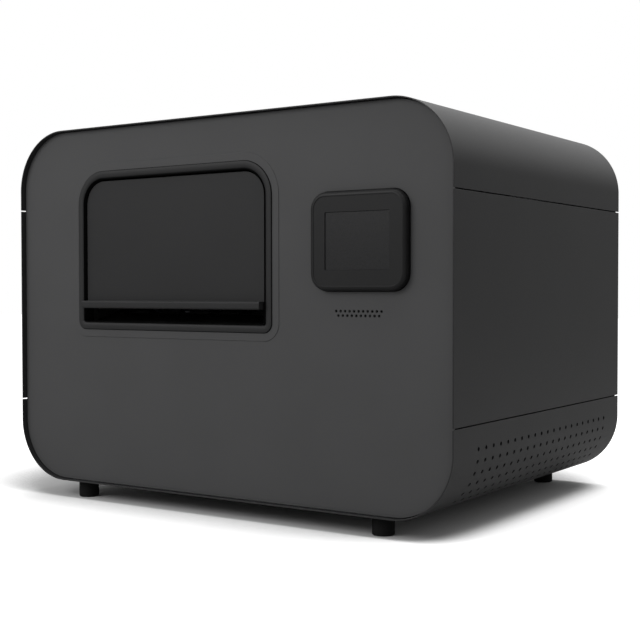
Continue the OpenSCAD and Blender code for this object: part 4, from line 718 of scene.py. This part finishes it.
def foam_pad(low, high):
    pad = bmesh.new()
    size = high - low
    columns, rows = int(size.x / FOAM_GRID), int(size.y / FOAM_GRID)
    bmesh.ops.create_grid(pad, x_segments=columns, y_segments=rows, size=0.5)
    for v in pad.verts:
        x, y = (v.co.x + 0.5) * size.x, (v.co.y + 0.5) * size.y
        near = min(x, size.x - x, y, size.y - y)
        rise = EDGE_ROUND - math.sqrt(EDGE_ROUND ** 2 - max(0.0, EDGE_ROUND - near) ** 2)
        rise += SAG * (1 + math.sin(x / SAG_X) * math.sin(y / SAG_Y))
        v.co = (low.x + x, low.y + y, low.z + rise)
    rim = [e for e in pad.edges if e.is_boundary]
    middle = (low + high) / 2
    for share, draw in ((WAIST_AT, WAIST), (1.0, -FLARE)):
        moved, rim = draw_out(pad, rim)
        for v in moved:
            off = v.co - middle
            way = Vector([math.copysign(min(1.0, abs(off[k]) / size[k] * 2), off[k]) for k in (0, 1)] + [0])
            v.co.z = low.z + size.z * share
            v.co -= way * draw
    bmesh.ops.holes_fill(pad, edges=[e for e in pad.edges if e.is_boundary], sides=0)
    for v in pad.verts:
        v.co = at_case(*v.co)
    return pad


for i, (low, high) in enumerate(solids_of("cover_liner")):
    pad = make_piece(f"foam_pad_{i + 1}", foam_pad(low, high), "cover", "liner", ["cover_liner"], edge=0)

# %% [markdown]
# ## The embossing pins
# Between two grooves of the cylinder stand the pins that press the dots, in cells of three rows of two.
# There are fourteen cells round the drum. One cell is modelled. Spinning copies of it round the axis fills a
# ring, and an Array modifier repeats the ring along the drum, so the pins stay one small mesh.

# %% Rings of pins
PIN_R, PIN_TIP_R, PIN_L, PIN_OUT, PIN_SIDES = 0.8, 0.48, 0.8, 0.1, 8
PIN_SPACE, PIN_LINES = 2.5, 14
PITCH, GROOVE_W, DRUM_L = 8.0, 2.0, 340.0
groove_count = int((DRUM_L - 2 * PITCH) / PITCH)
first_land = (DRUM_L - (groove_count - 1) * PITCH - GROOVE_W) / 2 + GROOVE_W
mech_x = (drawn_box("side_frame_left")[0].x + drawn_box("side_frame_right")[1].x) / 2
for node, body in (("lower_cylinder", "lower_drum"), ("upper_cylinder", "upper_drum")):
    low, high = drawn_box(node)
    axis = at_case(mech_x, (low.y + high.y) / 2, (low.z + high.z) / 2)
    reach = (high.z - low.z) / 2
    pins = bmesh.new()
    for row in (-1, 0, 1):
        for column in (-0.5, 0.5):
            x = first_land + (PITCH - GROOVE_W) / 2 - DRUM_L / 2 + column * PIN_SPACE
            turn = Matrix.Rotation(row * PIN_SPACE / reach, 4, "X")
            out = Matrix.Translation((x * MM, 0, (reach + PIN_OUT - PIN_L / 2) * MM))
            bmesh.ops.create_cone(pins, cap_ends=True, segments=PIN_SIDES, radius1=PIN_R * MM,
                                  radius2=PIN_TIP_R * MM, depth=PIN_L * MM,
                                  matrix=Matrix.Translation(axis) @ turn @ out)
    base = [f for f in pins.faces if len(f.verts) == PIN_SIDES
            and (f.calc_center_median() - axis).yz.length < reach * MM]
    bmesh.ops.delete(pins, geom=base, context="FACES_ONLY")
    bmesh.ops.spin(pins, geom=pins.verts[:] + pins.edges[:] + pins.faces[:], cent=axis, axis=(1, 0, 0),
                   angle=2 * math.pi * (PIN_LINES - 1) / PIN_LINES, steps=PIN_LINES - 1, use_duplicate=True)
    piece = make_piece(node + "_pins", pins, body, "bright_steel", edge=0)
    along = piece.modifiers.new("along the drum", "ARRAY")
    along.count = groove_count - 1
    along.use_relative_offset = False
    along.use_constant_offset = True
    along.constant_offset_displace = (PITCH * MM, 0, 0)

# %% [markdown]
# ## Windings
# A solenoid's bobbin holds a coil of enamelled copper. From a step away a winding reads as close rings, so
# its section is drawn as a line with one bulge for every turn of wire and spun round the bobbin's axis. A
# real helix would look the same at a hundred times the faces.

# %% Copper on the bobbins
FLANGE, PLUNGER_STUB, WIRE, CREST, VALLEY, COIL_STEPS = 3.0, 3.0, 1.2, 0.5, 0.8, 24
copper = bmesh.new()
for low, high in solids_of("solenoids"):
    middle = (low + high) / 2
    radius = (high.x - low.x) / 2
    z0, z1 = low.z + FLANGE, high.z - PLUNGER_STUB - FLANGE
    turns = int((z1 - z0) / WIRE)
    wave = [(radius - (CREST if k % 2 else VALLEY), z0 + (z1 - z0) * k / (2 * turns))
            for k in range(2 * turns + 1)]
    line = [copper.verts.new(at_case(middle.x + r, middle.y, z)) for r, z in wave]
    edges = [copper.edges.new(pair) for pair in zip(line, line[1:])]
    bmesh.ops.spin(copper, geom=line + edges, cent=at_case(middle.x, middle.y, 0), axis=(0, 0, 1),
                   angle=2 * math.pi, steps=COIL_STEPS, use_merge=True)
make_piece("solenoid_windings", copper, "case", "bronze", edge=0, finish="copper")

# %% [markdown]
# ## The control board
# A board is many small parts of unlike materials, and that is what makes it look real. Its parts are built
# of blocks and turned forms, each group in its own finish. The board itself has round corners. It is
# carried by six-sided stand-offs, and on each of them sits the head of a screw.

# %% The board on its stand-offs
BOARD_LIFT, BOARD_T, BOARD_CORNER, HOLE_IN = 10.0, 1.6, 3, 8
POST_R, HEAD_R, HEAD_TOP_R, HEAD_H = 4.0, 3.4, 2.4, 1.8
CORNER_CUTS, HEX, ROUND = 6, 6, 24
board_low, board_high = drawn_box("control_board")
bx, by, top_z = board_low.x, board_low.y, board_low.z + BOARD_LIFT + BOARD_T
bw, bl = board_high.x - bx, board_high.y - by


def post(shape, x, y, z0, z1, r0, r1, segments):
    """An upright round or many-sided post between two heights, in millimetres on the case's drawing."""
    spot = Matrix.Translation(at_case(x, y, (z0 + z1) / 2))
    bmesh.ops.create_cone(shape, cap_ends=True, segments=segments, radius1=r0 * MM, radius2=r1 * MM,
                          depth=(z1 - z0) * MM, matrix=spot)


board = bmesh.new()
block(board, (bx, by, top_z - BOARD_T), (bx + bw, by + bl, top_z))
upright = [e for e in board.edges if abs(e.verts[0].co.z - e.verts[1].co.z) > MM]
bmesh.ops.bevel(board, geom=upright, offset=BOARD_CORNER * MM, segments=CORNER_CUTS, profile=0.5,
                affect="EDGES", material=-1)
make_piece("board_sheet", board, "case", "board", ["control_board"], edge=0.15)

posts = bmesh.new()
for x in (bx + HOLE_IN, bx + bw - HOLE_IN):
    for y in (by + HOLE_IN, by + bl - HOLE_IN):
        post(posts, x, y, board_low.z, top_z - BOARD_T, POST_R, POST_R, HEX)
        post(posts, x, y, top_z, top_z + HEAD_H, HEAD_R, HEAD_TOP_R, ROUND)
make_piece("board_posts", posts, "case", "bright_steel", edge=0.2)

# %% [markdown]
# ## The heat sink
# The drivers of the solenoids get warm, so an extruded sink with upright fins stands on the board. The fins
# are blocks that reach a little into the block of the base. Cutting slots into one block would give the
# same form with more work.

# %% Base and fins
SINK_X, SINK_Y, SINK_W, SINK_L, SINK_BASE, SINK_H = 20, 120, 45, 60, 4, 24
FINS, FIN_PITCH, FIN_T, OVERLAP = 7, 7, 2, 0.1
sink = bmesh.new()
x, y = bx + SINK_X, by + SINK_Y
block(sink, (x, y, top_z), (x + SINK_W, y + SINK_L, top_z + SINK_BASE))
for i in range(FINS):
    fin_x = x + i * FIN_PITCH
    block(sink, (fin_x, y, top_z + SINK_BASE - OVERLAP), (fin_x + FIN_T, y + SINK_L, top_z + SINK_H))
make_piece("board_heat_sink", sink, "case", "mill_aluminium", edge=0.3)

# %% [markdown]
# ## Capacitors
# The can of a capacitor is drawn in near its foot, where a bead holds the seal, and its lid is bare
# aluminium. Each can is a stack of short turned steps. A spun profile would do as well, but a stack needs
# no drawing.

# %% Cans and lids
CANS, CAN_PITCH, CAN_X, CAN_Y, CAN_R, CAN_H, CAN_SIDES = 5, 15, 26, 96, 6.0, 19.0, 32
NECK_R = CAN_R - 0.5
CAN_STEPS = [(0.0, 2.4, CAN_R, CAN_R), (2.4, 3.0, CAN_R, NECK_R), (3.0, 3.6, NECK_R, CAN_R),
             (3.6, CAN_H, CAN_R, CAN_R)]
LID_STEP = (CAN_H - 0.3, CAN_H + 0.25, CAN_R - 0.8, CAN_R - 1.0)
cans, lids = bmesh.new(), bmesh.new()
for i in range(CANS):
    for shape, steps in ((cans, CAN_STEPS), (lids, [LID_STEP])):
        for z0, z1, r0, r1 in steps:
            post(shape, bx + CAN_X + i * CAN_PITCH, by + CAN_Y, top_z + z0, top_z + z1, r0, r1, CAN_SIDES)
make_piece("board_capacitors", cans, "case", "motor_paint", edge=0)
make_piece("capacitor_lids", lids, "case", "mill_aluminium", edge=0)

# %% [markdown]
# ## Chips and sockets
# A chip is a moulded block that stands a little above the board, on a row of legs at each side. A socket is
# a narrow tray with two rows of pins for the plug of a cable. Legs and pins are the same bright metal, so
# they go into one piece, all of them plain blocks.

# %% Chips on their legs
CHIP_PLACES = [(24, 24), (62, 30), (30, 60)]
CHIP_W, CHIP_L, CHIP_T, CHIP_LIFT = 24, 22, 2.4, 0.6
LEGS, LEG_PITCH, LEG_START, LEG_W, LEG_REACH = 9, 2.3, 1.6, 0.8, 1.6
chips, legs = bmesh.new(), bmesh.new()
for right, back in CHIP_PLACES:
    x, y, z = bx + right, by + back, top_z + CHIP_LIFT
    block(chips, (x, y, z), (x + CHIP_W, y + CHIP_L, z + CHIP_T))
    for i in range(LEGS):
        leg_y = y + LEG_START + i * LEG_PITCH
        for leg_x in (x - LEG_REACH, x + CHIP_W):
            block(legs, (leg_x, leg_y, top_z), (leg_x + LEG_REACH, leg_y + LEG_W, top_z + LEG_REACH))
make_piece("board_chips", chips, "case", "black_plastic", edge=0.3)

# %% Sockets with their pins
SOCKETS, SOCKET_PITCH, SOCKET_Y, SOCKET_BACK = 4, 46, 24, 26
SOCKET_W, SOCKET_L, SOCKET_BASE, SOCKET_H, WALL = 12, 34, 3, 11.5, 1.4
CONTACTS, CONTACT_PITCH, CONTACT_W, CONTACT_H, CONTACT_X, CONTACT_Y = 12, 2.54, 0.64, 9.5, 4.6, 3.0
sockets = bmesh.new()
for i in range(SOCKETS):
    x, y = bx + bw - SOCKET_BACK, by + SOCKET_Y + i * SOCKET_PITCH
    foot_z, rim_z = top_z + SOCKET_BASE - OVERLAP, top_z + SOCKET_H
    block(sockets, (x, y, top_z), (x + SOCKET_W, y + SOCKET_L, top_z + SOCKET_BASE))
    for wall_x in (x, x + SOCKET_W - WALL):
        block(sockets, (wall_x, y, foot_z), (wall_x + WALL, y + SOCKET_L, rim_z))
    for wall_y in (y, y + SOCKET_L - WALL):
        block(sockets, (x + WALL - OVERLAP, wall_y, foot_z),
              (x + SOCKET_W - WALL + OVERLAP, wall_y + WALL, rim_z))
    for k in range(CONTACTS):
        for row in (0, 1):
            pin_x, pin_y = x + CONTACT_X + row * CONTACT_PITCH, y + CONTACT_Y + k * CONTACT_PITCH
            block(legs, (pin_x, pin_y, foot_z), (pin_x + CONTACT_W, pin_y + CONTACT_W, top_z + CONTACT_H))
make_piece("board_sockets", sockets, "case", "black_plastic", edge=0.2)
make_piece("board_legs", legs, "case", "bright_steel", edge=0)

# %% [markdown]
# ## Screws
# Screws show scale. Each is a low cone whose top is inset, drawn into a six-lobed outline and pushed down,
# as a forming punch does. One function places a head at any spot, looking along any direction.

# %% A screw head
SCREW_SIDES, SCREW_TOP, SCREW_HIGH, SCREW_RIM, SCREW_DEEP = 24, 0.78, 0.55, 0.26, 0.35
LOBE_SIDES, LOBE_OUT, LOBE_IN, WALL_DRAFT = 4, 1.08, 0.82, 0.01


def screw_head(shape, place, face, radius):
    """A head of a radius in millimetres that sits on a place and looks along the direction face."""
    spot = Matrix.Translation(place) @ Vector(face).to_track_quat("Z", "Y").to_matrix().to_4x4()
    r = radius * MM
    lift = Matrix.Translation((0, 0, SCREW_HIGH * r / 2))
    made = bmesh.ops.create_cone(shape, cap_ends=True, segments=SCREW_SIDES, radius1=r,
                                 radius2=SCREW_TOP * r, depth=SCREW_HIGH * r, matrix=spot @ lift)
    way = spot.to_3x3() @ Vector((0, 0, 1))
    tops = {f for v in made["verts"] for f in v.link_faces if len(f.verts) == SCREW_SIDES}
    top = max(tops, key=lambda f: (f.calc_center_median() - spot.translation).dot(way))
    bmesh.ops.inset_individual(shape, faces=[top], thickness=SCREW_RIM * r)
    middle = top.calc_center_median()
    for i, v in enumerate(top.verts):
        v.co = middle + (v.co - middle) * (LOBE_OUT if i % LOBE_SIDES < 2 else LOBE_IN)
    bmesh.ops.inset_individual(shape, faces=[top], thickness=WALL_DRAFT * r, depth=-SCREW_DEEP * r)


print("a head has", SCREW_SIDES, "sides and", SCREW_SIDES // LOBE_SIDES, "lobes")

# %% [markdown]
# At the back there are screws along both sides and along the lower edge of the panel, and one in every
# corner of the fan. They are blackened, as the hinges are.

# %% Screws at the back
SIDE_X, SIDE_Z, FOOT_X, FOOT_Z, FAN_IN, SCREW_R = 404, (150, 300, 450), (-250, 0, 250), 16, 7.5, 4.0
rear_y = drawn_box("rear_panel")[1].y
fan_low, fan_high = drawn_box("fan_housing")
fan_middle = (fan_low + fan_high) / 2
fan_half = (fan_high.x - fan_low.x) / 2 - FAN_IN
spots = [(x, z) for x in (-SIDE_X, SIDE_X) for z in SIDE_Z]
spots += [(x, FOOT_Z) for x in FOOT_X]
spots += [(fan_middle.x + i * fan_half, fan_middle.z + j * fan_half) for i in (-1, 1) for j in (-1, 1)]
rear = bmesh.new()
for x, z in spots:
    screw_head(rear, at_case(x, rear_y, z), (0, 1, 0), SCREW_R)
make_piece("rear_screws", rear, "case", "hinge_steel", edge=0)

# %% [markdown]
# Inside, four screws hold each motor to the right side frame and four hold the solenoid rail. The small
# ones in a row are the terminals of the power supply.

# %% Screws inside
STEP_SPREAD, DRIVE_SPREAD, RAIL_IN = 23.57, 34.8, 12
TERMINALS, TERMINAL_X, TERMINAL_PITCH, TERMINAL_IN, TERMINAL_Z, TERMINAL_R = 7, 20, 12.5, 7, 24, 3.0
inner = bmesh.new()
outer_face = drawn_box("side_frame_right")[1].x
for node, spread in (("feed_motor", STEP_SPREAD), ("drive_motor", DRIVE_SPREAD)):
    low, high = drawn_box(node)
    middle = (low + high) / 2
    for i in (-1, 1):
        for j in (-1, 1):
            place = at_case(outer_face, middle.y + i * spread, middle.z + j * spread)
            screw_head(inner, place, (1, 0, 0), SCREW_R)
rail_low, rail_high = drawn_box("solenoid_rail")
for x in (rail_low.x + RAIL_IN, rail_high.x - RAIL_IN):
    for y in (rail_low.y + RAIL_IN, rail_high.y - RAIL_IN):
        screw_head(inner, at_case(x, y, rail_high.z), (0, 0, 1), SCREW_R)
supply_low, supply_high = drawn_box("power_supply")
for i in range(TERMINALS):
    x = supply_low.x + TERMINAL_X + i * TERMINAL_PITCH
    place = at_case(x, supply_high.y - TERMINAL_IN, supply_low.z + TERMINAL_Z)
    screw_head(inner, place, (0, 0, 1), TERMINAL_R)
make_piece("inner_screws", inner, "case", "bright_steel", edge=0)

# %% [markdown]
# ## Camera
# The camera stands where the photographer's did: in front of the machine, to the right of its front right
# corner and level with its middle. Its place and lens come from lining up the case's edges with the
# photograph.

# %% The camera
CAMERA_AT = (1.1753, -1.7586, 0.3550)
CAMERA_TURN = (88.522, 0.065, 33.911)
LENS_MM, SENSOR_MM, CLIP_NEAR = 66.93, 36.0, 0.05
lens = bpy.data.cameras.new("studio camera")
lens.lens = LENS_MM
lens.sensor_width = SENSOR_MM
lens.clip_start = CLIP_NEAR
camera = bpy.data.objects.new("studio_camera", lens)
camera.location = CAMERA_AT
camera.rotation_euler = [math.radians(a) for a in CAMERA_TURN]
bpy.context.scene.collection.objects.link(camera)
bpy.context.scene.camera = camera
print("camera at", CAMERA_AT, "with a lens of", LENS_MM, "mm")

# %% [markdown]
# ## The world round the machine
# The photograph was taken before pure white. The world is white for the camera, but that much light from
# all sides would wash out a dark machine, so what falls on it is plain and weaker. What it mirrors, or what
# is seen through glass, is grey near the horizon and white overhead, which draws a soft highlight on the
# rolled top corner. The node that tells camera rays from the others makes that split. White boards round
# the machine would be the photographer's way.

# %% The world
LIT_WORLD, LOW_MIRROR, HIGH_MIRROR = 0.5, 0.28, 1.0
MIRROR_FROM, MIRROR_TO = 0.12, 0.45
WHITE = (1, 1, 1, 1)


def studio_world():
    """Plain light for the machine, white for the camera, and brighter above where it is mirrored."""
    world = bpy.data.worlds.new("studio")
    world.use_nodes = True
    tree = world.node_tree
    tree.nodes.clear()
    rays = add(tree, "LightPath").outputs
    mirror = add(tree, "Math", wires={0: rays["Is Glossy Ray"], 1: rays["Is Transmission Ray"]})
    mirror.operation = "MAXIMUM"
    direction = add(tree, "TexCoord").outputs["Generated"]
    upwards = add(tree, "SeparateXYZ", wires={"Vector": direction}).outputs["Z"]
    span = {"From Min": MIRROR_FROM, "From Max": MIRROR_TO, "To Min": LOW_MIRROR, "To Max": HIGH_MIRROR}
    height = add(tree, "MapRange", span, {"Value": upwards})
    height.interpolation_type = "SMOOTHSTEP"
    lit = add(tree, "Background", {"Color": WHITE, "Strength": LIT_WORLD})
    mirrored = add(tree, "Background", {"Color": WHITE}, {"Strength": height.outputs["Result"]})
    shown = add(tree, "Background", {"Color": WHITE, "Strength": 1.0})
    unseen = add(tree, "MixShader", wires={"Fac": mirror.outputs["Value"], 1: lit.outputs["Background"],
                                           2: mirrored.outputs["Background"]})
    whole = add(tree, "MixShader", wires={"Fac": rays["Is Camera Ray"], 1: unseen.outputs["Shader"],
                                          2: shown.outputs["Background"]})
    add(tree, "OutputWorld", wires={"Surface": whole.outputs["Shader"]})
    bpy.context.scene.world = world
    return world


print("world nodes:", len(studio_world().node_tree.nodes))

# %% [markdown]
# ## The white sweep
# The floor has to be white round the machine and still keep the soft shadow under it. Lamps alone can't do
# that without washing out the machine. So the camera sees a sum of two things: the floor's own shading,
# where lamps and world cast a real shadow, and a painted glow that whitens the floor and fades where the
# machine shuts off the sky, which paints the rest of the shadow. An ambient occlusion node measures how much
# sky is left. It is leaned to one side, so that the painted shadow lies where it lies in the photograph. A
# shadow laid over white afterwards would do too, but it needs a second render.

# %% The floor
FLOOR_GREY, FLOOR_SEEN, FLOOR_ROUGH, FLOOR_HALF = 0.48, 0.60, 0.9, 12.0
SHADOW_REACH, SHUT_SKY, OPEN_SKY, SKY_SAMPLES = 0.4, 0.56, 0.86, 16
SKY_LEAN = (0.44, -0.18, 0.88)


def floor_finish():
    """A pale floor that the camera sees as white where the sky is open, with the machine's shadow partly
    cast and partly painted on it.
    """
    finish = bpy.data.materials.new("sweep")
    finish.use_nodes = True
    tree = finish.node_tree
    to_camera = add(tree, "LightPath").outputs["Is Camera Ray"]
    tone = add(tree, "MapRange", {"To Min": FLOOR_GREY, "To Max": FLOOR_SEEN}, {"Value": to_camera})
    shader = set_up(tree.nodes["Principled BSDF"], {"Roughness": FLOOR_ROUGH, "Specular IOR Level": 0.0},
                    {"Base Color": tone.outputs["Result"]})
    lean = add(tree, "Normal").outputs["Normal"]
    lean.default_value = SKY_LEAN
    sky = add(tree, "AmbientOcclusion", {"Distance": SHADOW_REACH}, {"Normal": lean})
    sky.samples = SKY_SAMPLES
    lift = add(tree, "MapRange", {"From Min": SHUT_SKY, "From Max": OPEN_SKY}, {"Value": sky.outputs["AO"]})
    seen = add(tree, "Math", wires={0: lift.outputs["Result"], 1: to_camera})
    seen.operation = "MULTIPLY"
    # Painted light for the camera: the glow whitens the floor, and where it fades with the occlusion it
    # paints the shadow.
    painted_glow = add(tree, "Emission", wires={"Strength": seen.outputs["Value"]})
    both = add(tree, "AddShader", wires={0: shader.outputs["BSDF"], 1: painted_glow.outputs["Emission"]})
    set_up(tree.nodes["Material Output"], wires={"Surface": both.outputs["Shader"]})
    return finish


floor_shape = bmesh.new()
bmesh.ops.create_grid(floor_shape, x_segments=2, y_segments=2, size=FLOOR_HALF)
floor_mesh = bpy.data.meshes.new("sweep")
floor_shape.to_mesh(floor_mesh)
floor_shape.free()
floor_mesh.materials.append(floor_finish())
floor = bpy.data.objects.new("sweep", floor_mesh)
bpy.context.scene.collection.objects.link(floor)
print("floor of", 2 * FLOOR_HALF, "m, faces", len(floor_mesh.polygons))

# %% [markdown]
# ## Lamps
# A dark machine shows its form by what it mirrors. One large soft box high on the left lights the front
# panel evenly. A larger one hangs over the machine and, with the pale sky of the world, draws the soft
# highlight along the rolled top corner, as in the photograph. Point lamps would be simpler, but they make
# hard glints on rolled sheet.

# %% The soft boxes
KEY_BOX = ("key_box", (-1.4, -2.8, 1.9), (2.0, 1.6), 50)
TOP_BOX = ("top_box", (0.6, 0.2, 3.1), (2.8, 2.6), 60)
MACHINE_MIDDLE = Vector((0.0, 0.0, 0.32))
for name, place, size, watts in (KEY_BOX, TOP_BOX):
    data = bpy.data.lights.new(name, "AREA")
    data.shape = "RECTANGLE"
    data.size, data.size_y = size
    data.energy = watts
    lamp = bpy.data.objects.new(name, data)
    lamp.location = place
    lamp.rotation_euler = (MACHINE_MIDDLE - Vector(place)).to_track_quat("-Z", "Y").to_euler()
    bpy.context.scene.collection.objects.link(lamp)
    print(name, "at", place, "size", size, "watts", watts)

# %% [markdown]
# ## The view
# The view transform is Standard, so a colour renders about as it is written.

# %% The view transform
bpy.context.scene.view_settings.view_transform = "Standard"
